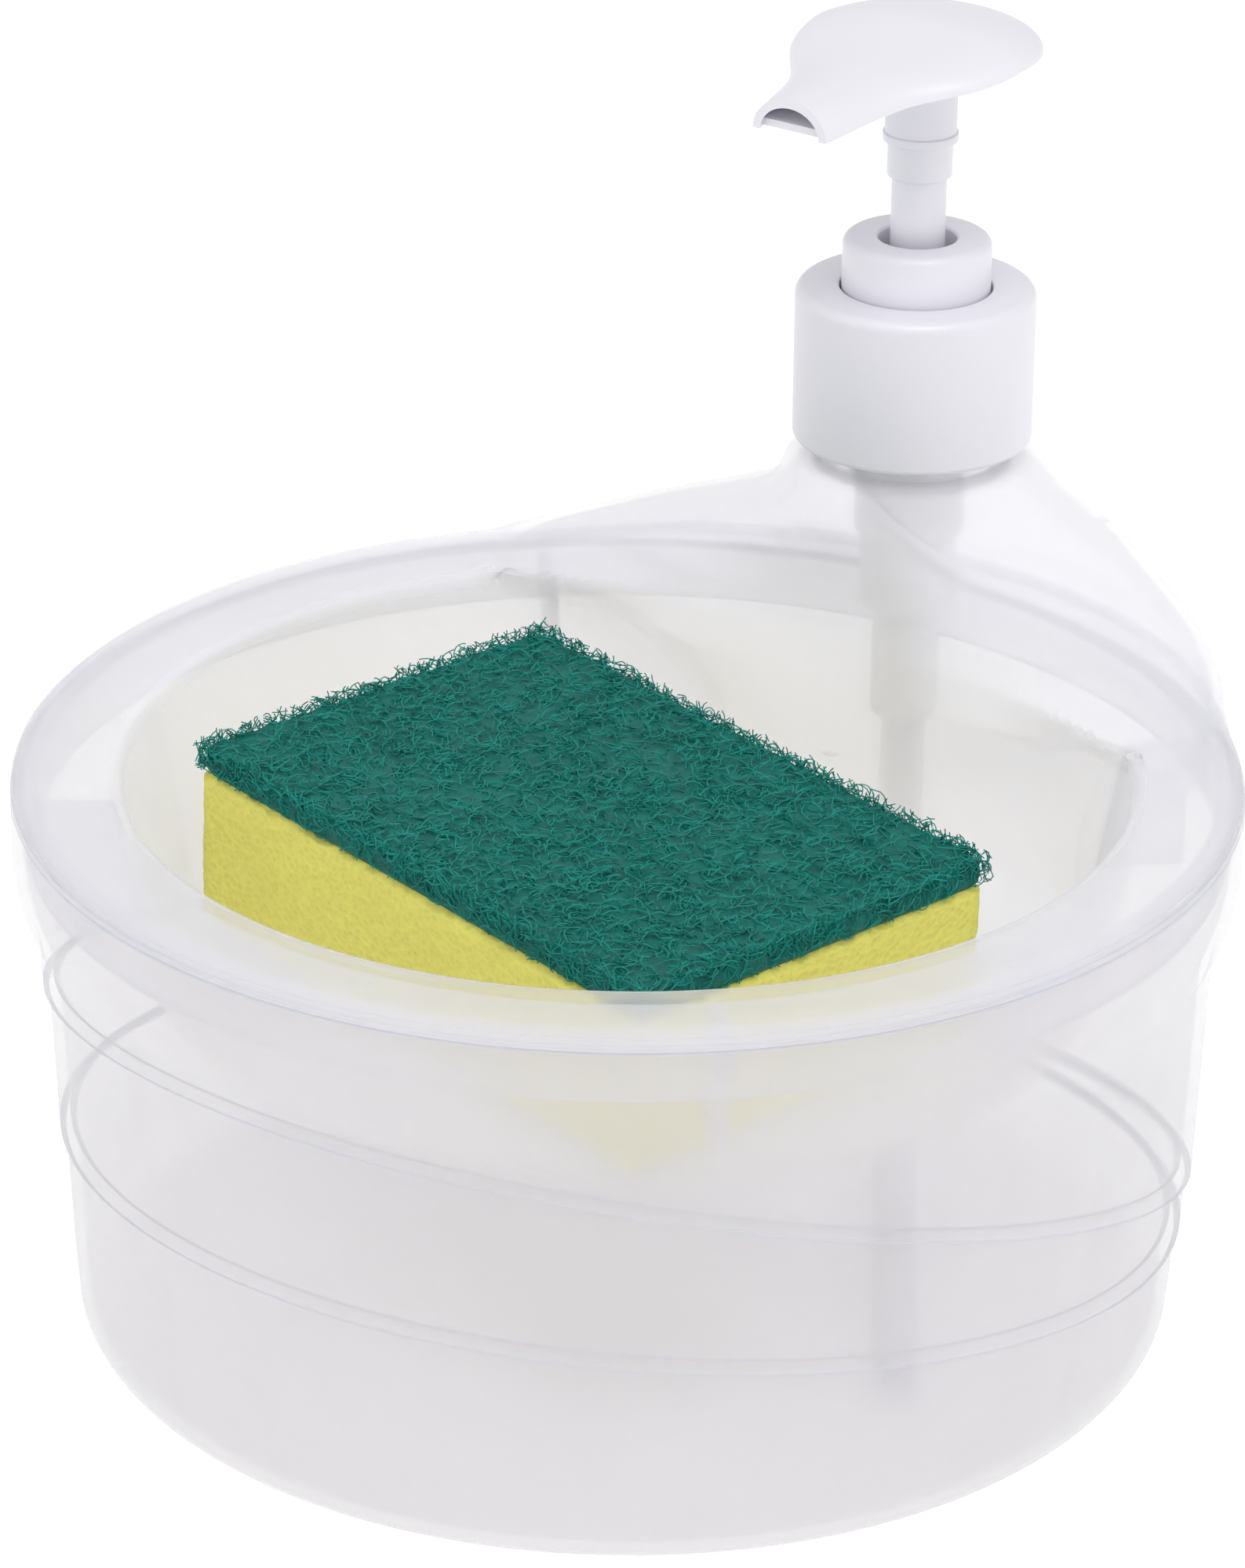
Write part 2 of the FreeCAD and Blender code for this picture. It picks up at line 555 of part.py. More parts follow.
def piston_seal():
    bore = STEM_TAIL_DIAMETER / 2 + PISTON_BORE_CLEARANCE
    outer = CHAMBER_BORE / 2 - PISTON_CLEARANCE
    return turned([
        (bore, PISTON_BOTTOM),
        (outer, PISTON_BOTTOM),
        (outer, PISTON_BOTTOM + PISTON_LIP),
        (outer - PISTON_WAIST, PISTON_BOTTOM + 2 * PISTON_LIP),
        (outer - PISTON_WAIST, PISTON_TOP - 2 * PISTON_LIP),
        (outer, PISTON_TOP - PISTON_LIP),
        (outer, PISTON_TOP),
        (bore, PISTON_TOP),
    ], PUMP_Y)


def plunger_plug():
    pin = STEM_BORE / 2 - PLUG_PIN_CLEARANCE
    return turned([
        (0, PLUG_HEAD_BOTTOM),
        (PLUG_HEAD_DIAMETER / 2, PLUG_HEAD_BOTTOM),
        (PLUG_HEAD_DIAMETER / 2, PISTON_BOTTOM),
        (STEM_TAIL_DIAMETER / 2, PISTON_BOTTOM),
        (STEM_TAIL_DIAMETER / 2, STEM_BOTTOM),
        (pin, STEM_BOTTOM),
        (pin, STEM_BOTTOM + PLUG_PIN_LENGTH),
        (0, STEM_BOTTOM + PLUG_PIN_LENGTH),
    ], PUMP_Y)


def tangent_arc(start, direction, end):
    """The arc from start, leaving along direction, to end."""
    chord = end - start
    aside = (chord - direction * chord.dot(direction)).normalize()
    radius = chord.dot(chord) / (2 * chord.dot(aside))
    centre = start + aside * radius
    middle = centre + ((start - centre) + (end - centre)).normalize() * radius
    return Part.Arc(start, middle, end).toShape()


def biarc(start, start_direction, end, end_direction):
    """Two tangent arcs that join two points with given directions."""
    chord = end - start
    total = start_direction + end_direction
    turn = 2 * (1 - start_direction.dot(end_direction))
    along = chord.dot(total)
    reach = (math.sqrt(along ** 2 + turn * chord.dot(chord)) - along) / turn
    joint = (start + end + (start_direction - end_direction) * reach) * 0.5
    return [tangent_arc(start, start_direction, joint), tangent_arc(end, end_direction * -1, joint)]


def return_spring():
    """A coil of round wire between the chamber's floor and the plunger's plug."""
    radius = (SPRING_DIAMETER - SPRING_WIRE) / 2
    low = CHAMBER_FLOOR + SPRING_WIRE / 2 + FIT_CLEARANCE
    high = PLUG_HEAD_BOTTOM - SPRING_WIRE / 2 - FIT_CLEARANCE
    pitch = (high - low) / SPRING_TURNS
    quarters = 4 * SPRING_TURNS

    def coil_point(quarter):
        angle = math.pi / 2 * quarter
        place = FreeCAD.Vector(radius * math.cos(angle), PUMP_Y + radius * math.sin(angle), low + pitch * quarter / 4)
        heading = FreeCAD.Vector(-radius * math.sin(angle), radius * math.cos(angle), pitch / (2 * math.pi))
        return place, heading.normalize()

    edges = []
    for quarter in range(quarters):
        edges += biarc(*coil_point(quarter), *coil_point(quarter + 1))
    path = Part.Wire(Part.__sortEdges__(edges))
    place, heading = coil_point(0)
    section = Part.Wire(Part.makeCircle(SPRING_WIRE / 2, place, heading))
    spring = path.makePipeShell([section], True, False)
    print("return_spring: gap between turns", round(pitch - SPRING_WIRE, 2), "volume", round(spring.Volume, 2),
          "wire section times length", round(math.pi * SPRING_WIRE ** 2 / 4 * path.Length, 2))
    return Part.Solid(spring) if spring.ShapeType == "Shell" else spring


def head_arch(station, half_width, rise, base, skirt):
    """A half oval across the head at a distance from the pump's axis, closed straight across below."""
    y = PUMP_Y - station
    points = []
    for step in range(HEAD_ARCH_SPANS + 1):
        turn = math.pi * step / HEAD_ARCH_SPANS
        points.append(FreeCAD.Vector(half_width * math.cos(turn), y, base + rise * math.sin(turn)))
    curve = Part.BSplineCurve()
    curve.interpolate(points)
    right, left = points[0], points[-1]
    if skirt == 0:
        return Part.Wire([curve.toShape(), Part.LineSegment(left, right).toShape()])
    down = FreeCAD.Vector(0, 0, -skirt)
    rest = Part.makePolygon([left, left + down, right + down, right])
    return Part.Wire([curve.toShape()] + rest.Edges)


def edge_height(station):
    """Height of the head's lower edge, which droops towards the spout's tip."""
    share = (station - HEAD_OFFSET) / (SPOUT_REACH - HEAD_OFFSET)
    return HEAD_EDGE - SPOUT_DROOP * max(share, 0)


def head_form(inset, skirt):
    """The head's outside, or with an inset the hollow under it: a dome that runs out into the spout."""
    sections = []
    for turn in HEAD_BACK_TURNS + (HEAD_LEAN,):
        share = math.cos(math.radians(turn))
        reach = HEAD_RADIUS - inset if turn < 0 else HEAD_RADIUS
        station = HEAD_OFFSET + reach * math.sin(math.radians(turn))
        sections.append((station, (HEAD_RADIUS - inset) * share, (HEAD_RISE - inset) * share))
    sections.append((NECK_REACH, NECK_HALF_WIDTH - inset, NECK_RISE - inset))
    sections.append((SPOUT_REACH, SPOUT_HALF_WIDTH - inset, SPOUT_RISE - inset))
    wires = [head_arch(station, half, rise, edge_height(station), skirt) for station, half, rise in sections]
    return Part.makeLoft(wires, True, False)


def head_block(half_width, first, last):
    """An upright block across the head between two distances from the pump's axis."""
    low = HEAD_EDGE - 2 * SPOUT_DROOP
    high = HEAD_EDGE + 2 * HEAD_RISE
    corner = FreeCAD.Vector(-half_width, PUMP_Y - last, low)
    return Part.makeBox(2 * half_width, last - first, high - low, corner)


def pump_head():
    outside = head_form(0, 0)
    beyond = head_block(HEAD_RADIUS, SPOUT_REACH - SPOUT_CLOSED_LENGTH, SPOUT_REACH + HEAD_WALL)
    hollow = head_form(HEAD_WALL, HEAD_WALL).cut(beyond)
    duct = outside.common(head_block(SPOUT_HALF_WIDTH, 0, SPOUT_REACH))
    core_radius = SLEEVE_UPPER_DIAMETER / 2
    dome_share = math.sqrt(1 - ((core_radius - HEAD_OFFSET) / HEAD_RADIUS) ** 2)
    core_top = edge_height(core_radius) + HEAD_RISE * dome_share - HEAD_WALL / 2
    bead_bottom = SLEEVE_BOTTOM + SLEEVE_BEAD_HEIGHT
    bead_top = bead_bottom + SLEEVE_BEAD_WIDTH
    core = turned([
        (0, SLEEVE_BOTTOM),
        (SLEEVE_DIAMETER / 2, SLEEVE_BOTTOM),
        (SLEEVE_DIAMETER / 2, bead_bottom),
        (SLEEVE_BEAD_DIAMETER / 2, bead_bottom),
        (SLEEVE_BEAD_DIAMETER / 2, bead_top),
        (core_radius, bead_top),
        (core_radius, core_top),
        (0, core_top),
    ], PUMP_Y)
    head = outside.cut(hollow).fuse([duct, core])

    channel_half = SPOUT_HALF_WIDTH - SPOUT_WALL
    ends = []
    for station, rise in ((0, NECK_RISE), (SPOUT_REACH + SPOUT_WALL, SPOUT_RISE)):
        base = edge_height(station) + SPOUT_WALL
        ends.append(head_arch(station, channel_half, rise - 2 * SPOUT_WALL, base, 0))
    channel = Part.makeLoft(ends, True, True)
    socket = cylinder(STEM_DIAMETER / 2 + FIT_CLEARANCE, SLEEVE_BOTTOM - SPOUT_WALL, STEM_TOP, PUMP_Y)
    riser = cylinder(STEM_BORE / 2, STEM_TOP - SPOUT_WALL, HEAD_EDGE + 2 * SPOUT_WALL, PUMP_Y)
    return head.cut([channel, socket, riser]).Solids[0]


def dip_tube():
    """A straight drop, one bend and a run along the bowl's floor."""
    heading = math.radians(TUBE_HEADING)
    ahead = FreeCAD.Vector(math.sin(heading), -math.cos(heading), 0)
    low = BOWL_FLOOR + TUBE_FLOOR_GAP + TUBE_DIAMETER / 2
    axis = FreeCAD.Vector(0, PUMP_Y, 0)
    start = axis + FreeCAD.Vector(0, 0, SOCKET_TOP)
    bend_start = axis + FreeCAD.Vector(0, 0, low + TUBE_BEND_RADIUS)
    slant = math.sqrt(0.5) * TUBE_BEND_RADIUS
    bend_middle = bend_start + ahead * (TUBE_BEND_RADIUS - slant) - FreeCAD.Vector(0, 0, slant)
    bend_end = axis + ahead * TUBE_BEND_RADIUS + FreeCAD.Vector(0, 0, low)
    end = axis + ahead * TUBE_REACH + FreeCAD.Vector(0, 0, low)
    path = Part.Wire([
        Part.LineSegment(start, bend_start).toShape(),
        Part.Arc(bend_start, bend_middle, bend_end).toShape(),
        Part.LineSegment(bend_end, end).toShape(),
    ])
    down = FreeCAD.Vector(0, 0, -1)
    skins = []
    for diameter in (TUBE_DIAMETER, TUBE_BORE):
        section = Part.Wire(Part.makeCircle(diameter / 2, start, down))
        skins.append(path.makePipeShell([section], True, False))
    tube = skins[0].cut(skins[1])
    area = math.pi / 4 * (TUBE_DIAMETER ** 2 - TUBE_BORE ** 2)
    print("dip_tube: length", round(path.Length, 1), "bend radius", TUBE_BEND_RADIUS, "volume", round(tube.Volume, 1),
          "section times length", round(area * path.Length, 1))
    return one_solid(tube)


def sponge_block(bottom, top):
    """A layer of the sponge between two heights above its own underside, laid tilted in the dish."""
    half_length, half_width = SPONGE_LENGTH / 2, SPONGE_WIDTH / 2
    outline = rounded_face([
        (-half_length, -half_width, SPONGE_CORNER),
        (half_length, -half_width, SPONGE_CORNER),
        (half_length, half_width, SPONGE_CORNER),
        (-half_length, half_width, SPONGE_CORNER),
    ])
    block = outline.extrude(FreeCAD.Vector(0, -(top - bottom), 0))
    block.rotate(FreeCAD.Vector(0, 0, 0), FreeCAD.Vector(1, 0, 0), -90)
    block.translate(FreeCAD.Vector(0, 0, bottom))
    block.rotate(FreeCAD.Vector(0, 0, 0), FreeCAD.Vector(0, 1, 0), SPONGE_TILT)
    block.rotate(FreeCAD.Vector(0, 0, 0), FreeCAD.Vector(0, 0, 1), SPONGE_YAW)
    lift = half_length * math.sin(math.radians(SPONGE_TILT)) + SPONGE_SEAT_GAP
    block.translate(FreeCAD.Vector(SPONGE_X, SPONGE_Y, DISH_FLOOR_HEIGHT + lift))
    return block


def sponge_foam():
    return sponge_block(0, FOAM_HEIGHT)


def scouring_pad():
    return sponge_block(FOAM_HEIGHT, FOAM_HEIGHT + PAD_HEIGHT)


PIECES = (
    reservoir_bowl, sponge_tray, sponge_foam, scouring_pad, screw_collar, lock_ring, neck_gasket, pump_housing,
    inlet_ball, return_spring, piston_seal, plunger_plug, pump_stem, pump_head, dip_tube,
)

os.makedirs("parts", exist_ok=True)
for piece in PIECES:
    solid = piece()
    solid.exportStep("parts/" + piece.__name__ + ".step")
    print(piece.__name__, "valid", solid.isValid(), "solids", len(solid.Solids), "volume", round(solid.Volume, 1))
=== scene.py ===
import json
import math
import random

import bmesh
import bpy
import numpy as np
from bpy.props import FloatProperty, FloatVectorProperty, IntProperty, PointerProperty
from mathutils import Matrix, Vector, noise


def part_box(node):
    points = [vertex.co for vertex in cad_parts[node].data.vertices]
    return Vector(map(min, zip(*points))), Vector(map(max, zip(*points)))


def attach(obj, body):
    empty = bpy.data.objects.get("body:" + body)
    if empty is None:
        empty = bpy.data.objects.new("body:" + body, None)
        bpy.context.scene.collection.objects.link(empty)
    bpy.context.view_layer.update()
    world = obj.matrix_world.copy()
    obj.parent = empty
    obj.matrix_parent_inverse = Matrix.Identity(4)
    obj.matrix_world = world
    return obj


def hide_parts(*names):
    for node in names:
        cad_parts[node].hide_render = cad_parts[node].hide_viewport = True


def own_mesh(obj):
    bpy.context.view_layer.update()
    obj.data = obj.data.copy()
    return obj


bl_info = {
    "name": "Soap pump caddy",
    "version": (1, 0, 0),
    "blender": (4, 5, 0),
    "location": "3D View > Sidebar > Caddy",
    "description": "Builds a milky soap caddy with its lotion pump and scouring sponge",
    "category": "Add Mesh",
}

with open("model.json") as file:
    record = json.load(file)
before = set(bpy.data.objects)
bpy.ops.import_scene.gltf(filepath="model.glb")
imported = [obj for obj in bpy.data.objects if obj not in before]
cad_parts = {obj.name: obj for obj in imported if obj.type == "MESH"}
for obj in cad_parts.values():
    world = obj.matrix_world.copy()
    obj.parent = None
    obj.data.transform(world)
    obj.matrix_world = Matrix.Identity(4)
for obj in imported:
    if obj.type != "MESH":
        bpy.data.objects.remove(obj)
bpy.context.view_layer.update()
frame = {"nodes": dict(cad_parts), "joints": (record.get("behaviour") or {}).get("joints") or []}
MM = 0.001

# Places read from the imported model
JOINTS = {joint["name"]: joint for joint in frame["joints"]}
PUMP_Y = JOINTS["head_swivel"]["pos_m"][1]
STROKE = JOINTS["pump_stroke"]["range_m"][1]
BOWL_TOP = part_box("reservoir_bowl")[1].z
RIM_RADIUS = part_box("reservoir_bowl")[1].x
COLLAR_LOW, COLLAR_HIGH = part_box("screw_collar")
LOCK_LOW, LOCK_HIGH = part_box("lock_ring")
STEM_LOW, STEM_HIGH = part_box("pump_stem")
HOUSING_LOW, HOUSING_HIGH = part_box("pump_housing")
SPRING_LOW, SPRING_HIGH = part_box("return_spring")
TUBE_LOW, TUBE_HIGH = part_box("dip_tube")

# Bowl
BOWL_WALL = 1.5 * MM
BOWL_FLOOR = 1.8 * MM
BASE_CORNER = 4.0 * MM
RIM_BAND = 7.3 * MM
FLARE_HEIGHT = 11.2 * MM
FLARE_REACH = 3.1 * MM
WALL_DRAFT = math.radians(2.3)
WALL_STEP = 0.8 * MM
STEP_SOFT = 0.22 * MM
STEP_LINE = 0.4 * MM
FLOOR_SHARES = (0.0, 0.25, 0.5, 0.75)
WALL_SHARES = (0.3, 0.6, 0.9)
TOP_SHARES = (0.25, 0.5, 0.75)
CORNER_STEPS = 8
FLARE_STEPS = 8
WALL_STEPS = ((19.9 * MM, math.radians(8.65)), (33.3 * MM, math.radians(16.7)))
LIP_ROUND = 0.5 * MM

# Tray
TRAY_WALL = 1.6 * MM
TRAY_TOP = BOWL_TOP + 3.7 * MM
RIM_ROUND = 3.2 * MM
RIM_WIDTH = 14.5 * MM
RIM_FALL = 2.4 * MM
DISH_EDGE_ROUND = 1.7 * MM
DISH_DEPTH = 31.5 * MM
DISH_TAPER = 5.5 * MM
DISH_CORNER = 6.5 * MM
DISH_FLOOR = TRAY_TOP - RIM_FALL - DISH_DEPTH
DISH_RADIUS = RIM_RADIUS - RIM_WIDTH
PLUG_DEPTH = 7.7 * MM
PLUG_OUTER = RIM_RADIUS - BOWL_WALL - 0.3 * MM
PLUG_INNER = PLUG_OUTER - TRAY_WALL
PLUG_ROUND = 0.4 * MM
RIB_COUNT = 4
RIB_THICKNESS = 1.2 * MM
RIB_DEPTH = 18.0 * MM
RIB_CLEARANCE = 0.7 * MM
NECK_RADIUS = 13.7 * MM
NECK_BORE = 11.0 * MM
NECK_ROUND = 0.5 * MM
NECK_OPENING = NECK_BORE + 1.2 * MM
NECK_TOP = HOUSING_HIGH.z - 3.2 * MM
PLATFORM = TRAY_TOP + 21.5 * MM
BLEND_HEIGHTS = (TRAY_TOP - 6.0 * MM, TRAY_TOP + 2.0 * MM)
BLEND_SIZES = (12.0 * MM, 5.0 * MM)
BOSS_TOP_ROUND = 2.0 * MM
BOSS_SQUARENESS = 2.5
DISH_SIDE_REACH = 43.0 * MM
DISH_SIDE_FADE = 14.0 * MM
GRID_STEP = 1.2 * MM
GRID_TURNS = 400
GRID_START = 5 * MM
GRID_HEADROOM = 2 * MM
BOSS_OVERHANG = 14 * MM
HUB_RADIUS = 5.6 * MM
RIM_INSIDE = DISH_RADIUS + 3 * MM
LEDGE_INSET = 0.4 * MM
EDGE_BAND = 0.7 * DISH_EDGE_ROUND

# Heights of the boss's flank, each with its reach along the rim
BOSS_FLANK = (
    (DISH_FLOOR - 3.2 * MM, 38.0 * MM),
    (TRAY_TOP - 19.0 * MM, 31.5 * MM),
    (TRAY_TOP - 8.5 * MM, 40.5 * MM),
    (TRAY_TOP - 1.0 * MM, 58.0 * MM),
    (TRAY_TOP + 2.0 * MM, 48.0 * MM),
    (TRAY_TOP + 8.0 * MM, 31.2 * MM),
    (PLATFORM - 6.5 * MM, 20.0 * MM),
    (PLATFORM, 16.7 * MM),
)
# Heights of the boss with its back, its front, its squareness and how far it bends along the rim
BOSS_STOPS = (
    (DISH_FLOOR - 3.2 * MM, 19.8 * MM, 20.5 * MM, BOSS_SQUARENESS, 1.0),
    (TRAY_TOP - 19.0 * MM, 19.8 * MM, 19.0 * MM, BOSS_SQUARENESS, 1.0),
    (TRAY_TOP - 1.0 * MM, 19.8 * MM, 19.0 * MM, BOSS_SQUARENESS, 1.0),
    (TRAY_TOP + 2.0 * MM, 20.3 * MM, 19.0 * MM, BOSS_SQUARENESS, 0.6),
    (TRAY_TOP + 8.0 * MM, 25.5 * MM, 19.0 * MM, BOSS_SQUARENESS, 0.0),
    (PLATFORM - 6.5 * MM, 23.8 * MM, 19.0 * MM, 2.0, 0.0),
    (PLATFORM, 16.7 * MM, 16.7 * MM, 2.0, 0.0),
)

# Pump
TURNED_SEGMENTS = 96
COLLAR_CLEARANCE = 0.3 * MM
COLLAR_ROOF = 2.0 * MM
COLLAR_ROUNDS = {"bore": 0.4 * MM, "foot": 0.8 * MM, "shoulder": 1.4 * MM, "hole": 0.3 * MM}
LOCK_GUIDE = 3.95 * MM
LOCK_BORE = 5.35 * MM
LOCK_SLEEVE = 5.45 * MM
LOCK_PLAY = 0.7 * MM
LOCK_TOP_ROUND = 1.2 * MM
LOCK_BORE_ROUND = 0.5 * MM
STEM_BORE = 1.9 * MM
STEM_TAIL = 3.2 * MM
STEM_PLAY = 0.3 * MM
SLEEVE_LENGTH = 18.4 * MM
SLEEVE_BOTTOM = LOCK_HIGH.z + 8.7 * MM
HEAD_EDGE = SLEEVE_BOTTOM + SLEEVE_LENGTH
HEAD_RADIUS = 17.0 * MM
HEAD_OFFSET = 1.7 * MM
HEAD_RISE = 4.4 * MM
HEAD_WALL = 1.2 * MM
SPOUT_REACH = 31.5 * MM
SPOUT_DROOP = 4.5 * MM
SPOUT_HALF_WIDTH = 5.8 * MM
SPOUT_WALL = 1.0 * MM
PLATE_INSET = 0.15 * MM
HEAD_STATIONS = 64
HEAD_ARCH_POINTS = 40
SOCKET_CLEARANCE = 0.05 * MM
SLEEVE_LOWER = 4.45 * MM
SLEEVE_UPPER = 4.9 * MM
SLEEVE_BEAD = 5.15 * MM
SLEEVE_ROUND = 0.3 * MM
BEAD_RISE = 5.0 * MM
BEAD_HEIGHT = 1.3 * MM
BEAD_ROUND = 0.2 * MM
RING_COUNT = 3
RING_DROP = 5.4 * MM
RING_PITCH = 1.8 * MM
RING_HEIGHT = 1.0 * MM
RING_SLOPE = 0.25 * MM
HEAD_BACK_DEGREES = range(-90, 16, 15)
# Distances from the pump's axis towards the spout, each with the head's half width and rise there
HEAD_LINE = (
    (6.7 * MM + HEAD_OFFSET, 15.6 * MM, 4.04 * MM),
    (18.2 * MM, 9.3 * MM, 3.9 * MM),
    (31.5 * MM, 5.8 * MM, 4.8 * MM),
)

# Pump's cylinder and tube
FLANGE_RADIUS = 13.3 * MM
FLANGE_THICKNESS = 2.0 * MM
CYLINDER_UPPER = 7.65 * MM
CYLINDER_LOWER = 6.7 * MM
CYLINDER_TAIL = 4.7 * MM
UPPER_LENGTH = 32.3 * MM
LOWER_LENGTH = 12.0 * MM
UPPER_SLOPE = 0.95 * MM
LOWER_SLOPE = 2.0 * MM
UPPER_ROUND = 0.3 * MM
LOWER_ROUND = 0.4 * MM
TAIL_ROUND = 0.3 * MM
CHAMBER_RADIUS = 5.5 * MM
CHAMBER_DEPTH = 44.3 * MM
INLET_RADIUS = 3.5 * MM
INLET_DEPTH = 7.5 * MM
SEAT_RADIUS = 1.6 * MM
SEAT_DEPTH = 2.0 * MM
TUBE_SOCKET_DEPTH = 6.5 * MM
SLANT_START = math.radians(216.5)
SLANT_SWEEP = math.radians(180.0)
SLANT_DROP = 21.5 * MM
SLANT_FALL = 20.0 * MM
SLANT_STEPS = 40
# Corners of the slanting rib, each as a radius and a rise
SLANT_SECTION = (
    (6.0 * MM, 0.0), (8.6 * MM, 0.3 * MM), (8.9 * MM, 1.2 * MM), (8.6 * MM, 2.1 * MM), (6.0 * MM, 2.4 * MM))
TUBE_OUTER = 3.1 * MM
TUBE_INNER = 2.1 * MM
TUBE_HEADING = math.radians(34.0)
TUBE_BEND = 40.0 * MM
TUBE_REACH = 90.0 * MM
TUBE_SIDES = 32
WIRE_RADIUS = 0.4 * MM
WIRE_SIDES = 8
SPRING_TURNS = 6
SPRING_TURN_STEPS = 24

# Sponge
SPONGE_LENGTH = 88.0 * MM
SPONGE_WIDTH = 61.0 * MM
FOAM_HEIGHT = 22.0 * MM
PAD_HEIGHT = 4.2 * MM
SPONGE_YAW = math.radians(-11.8)
SPONGE_TILT = math.radians(2.85)
SPONGE_X = -2.4 * MM
SPONGE_Y = -6.9 * MM
SPONGE_SEAT_GAP = 0.3 * MM
SPONGE_CORNER = 3.0 * MM
SPONGE_GRID = 0.8 * MM
FOAM_EDGE = 1.0 * MM
PAD_EDGE = 0.8 * MM
PAD_LIFT = 0.02 * MM
PAD_SINK = 0.5 * MM
PAD_LOW = FOAM_HEIGHT
PAD_TOP = FOAM_HEIGHT + PAD_HEIGHT
FUZZ = 0.9 * MM
FIBRE_STEPS = 5
FIBRE_SIDES = 3
FIBRE_FOOT = 0.2 * MM

# Camera of the photograph
VIEW_AZIMUTH = math.radians(35.8)
VIEW_ELEVATION = math.radians(24.97)
VIEW_DISTANCE = 0.8
VIEW_HEIGHT = 0.07
VIEW_TURNS = (math.radians(-0.05), math.radians(-0.29), math.radians(-0.57))
FOCAL_PIXELS = 7723.0
PHOTO_HEIGHT = 1999.0
SENSOR = 36.0
SKINS_SEEN_THROUGH = 32

# Stage
FLOOR_HALF = 40.0
FLOOR_SQUARES = 8
FLOOR_SINK = 0.05 * MM
FLOOR_GLOW = 0.32
# Width and place of each light
KEY_LIGHT = (1.0, (0.55, -0.45, 1.5))
FILL_LIGHT = (1.2, (-0.9, -0.9, 0.7))

# Finishes
GRAIN_DEPTH = 0.2 * MM
PORE_DEPTH = 0.6 * MM
STRAND_DEPTH = 0.5 * MM
PATTERN_MIDDLE = 0.5


class PlasticSettings(bpy.types.PropertyGroup):
    """Colours of the moulded plastics."""

    bowl_colour: FloatVectorProperty(
        name="Bowl", description="Colour of the milky bowl", subtype="COLOR", size=3, min=0, max=1,
        default=(0.82, 0.805, 0.835))
    tray_colour: FloatVectorProperty(
        name="Tray", description="Colour of the milky tray", subtype="COLOR", size=3, min=0, max=1,
        default=(0.945, 0.94, 1.0))
    pump_colour: FloatVectorProperty(
        name="Pump", description="Colour of the white pump", subtype="COLOR", size=3, min=0, max=1,
        default=(0.8, 0.79, 0.85))
    # The cylinder's colour is lighter than the pump's white as painted light. It stands in for the light
    # that the milky boss scatters onto it.
    cylinder_painted_light_colour: FloatVectorProperty(
        name="Cylinder", description="Colour of the pump's cylinder", subtype="COLOR", size=3, min=0, max=1,
        default=(0.97, 0.965, 0.99))
    bowl_milkiness: FloatProperty(
        name="Bowl milkiness", description="Share of light that each skin of the bowl stops",
        subtype="FACTOR", min=0, max=1, default=0.35)
    # The ledges' darker colour is painted shade at the bowl's steps and lip. Their higher milkiness stands
    # for the extra plastic seen edge on there.
    ledge_shade_colour: FloatVectorProperty(
        name="Ledges", description="Colour of the bowl's thin ledges, where more plastic is seen edge on",
        subtype="COLOR", size=3, min=0, max=1, default=(0.62, 0.63, 0.7))
    ledge_milkiness: FloatProperty(
        name="Ledge milkiness", description="Share of light that each ledge stops", subtype="FACTOR",
        min=0, max=1, default=0.65)
    edge_milkiness: FloatProperty(
        name="Edge milkiness", description="Share of light that the tray's edges and ribs stop",
        subtype="FACTOR", min=0, max=1, default=0.6)
    tray_milkiness: FloatProperty(
        name="Tray milkiness", description="Share of light that each skin of the tray stops",
        subtype="FACTOR", min=0, max=1, default=0.4)


class SpongeSettings(bpy.types.PropertyGroup):
    """Colours and fibres of the sponge."""

    foam_colour: FloatVectorProperty(
        name="Foam", description="Colour of the foam", subtype="COLOR", size=3, min=0, max=1,
        default=(0.815, 0.77, 0.176))
    pad_colour: FloatVectorProperty(
        name="Pad", description="Colour of the scouring fibres", subtype="COLOR", size=3, min=0, max=1,
        default=(0.0056, 0.2315, 0.19))
    top_fibres: IntProperty(
        name="Top fibres", description="Fibres that lie on the pad", min=0, default=6000)
    edge_fibres: IntProperty(
        name="Edge fibres", description="Fibres round the pad's edge", min=0, default=3600)
    fibre_radius: FloatProperty(
        name="Fibre radius", description="Half the thickness of a fibre", unit="LENGTH", default=0.09 * MM)
    fibre_seed: IntProperty(
        name="Fibre seed", description="Start of the fibres' random order", default=7)


class StageSettings(bpy.types.PropertyGroup):
    """Floor and light around the caddy."""

    floor_colour: FloatVectorProperty(
        name="Floor", description="Colour of the floor", subtype="COLOR", size=3, min=0, max=1,
        default=(0.95, 0.95, 0.95))
    sky_strength: FloatProperty(
        name="Sky", description="Strength of the even white light", min=0, default=0.735)
    key_power: FloatProperty(
        name="Key light", description="Power of the large light on the right", unit="POWER",
        min=0, default=8.6)
    fill_power: FloatProperty(
        name="Fill light", description="Power of the large light on the left", unit="POWER",
        min=0, default=1.08)


class Socket:
    """A node's output that takes part in Python sums."""

    def __init__(self, finish, link):
        self.finish = finish
        self.link = link

    def _sum(self, operation, first, second):
        settings = {"operation": operation}
        return self.finish.node("ShaderNodeMath", settings, {0: first, 1: second})

    def __add__(self, other):
        return self._sum("ADD", self, other)

    def __radd__(self, other):
        return self._sum("ADD", other, self)

    def __sub__(self, other):
        return self._sum("SUBTRACT", self, other)

    def __rsub__(self, other):
        return self._sum("SUBTRACT", other, self)

    def __mul__(self, other):
        return self._sum("MULTIPLY", self, other)

    def __rmul__(self, other):
        return self._sum("MULTIPLY", other, self)


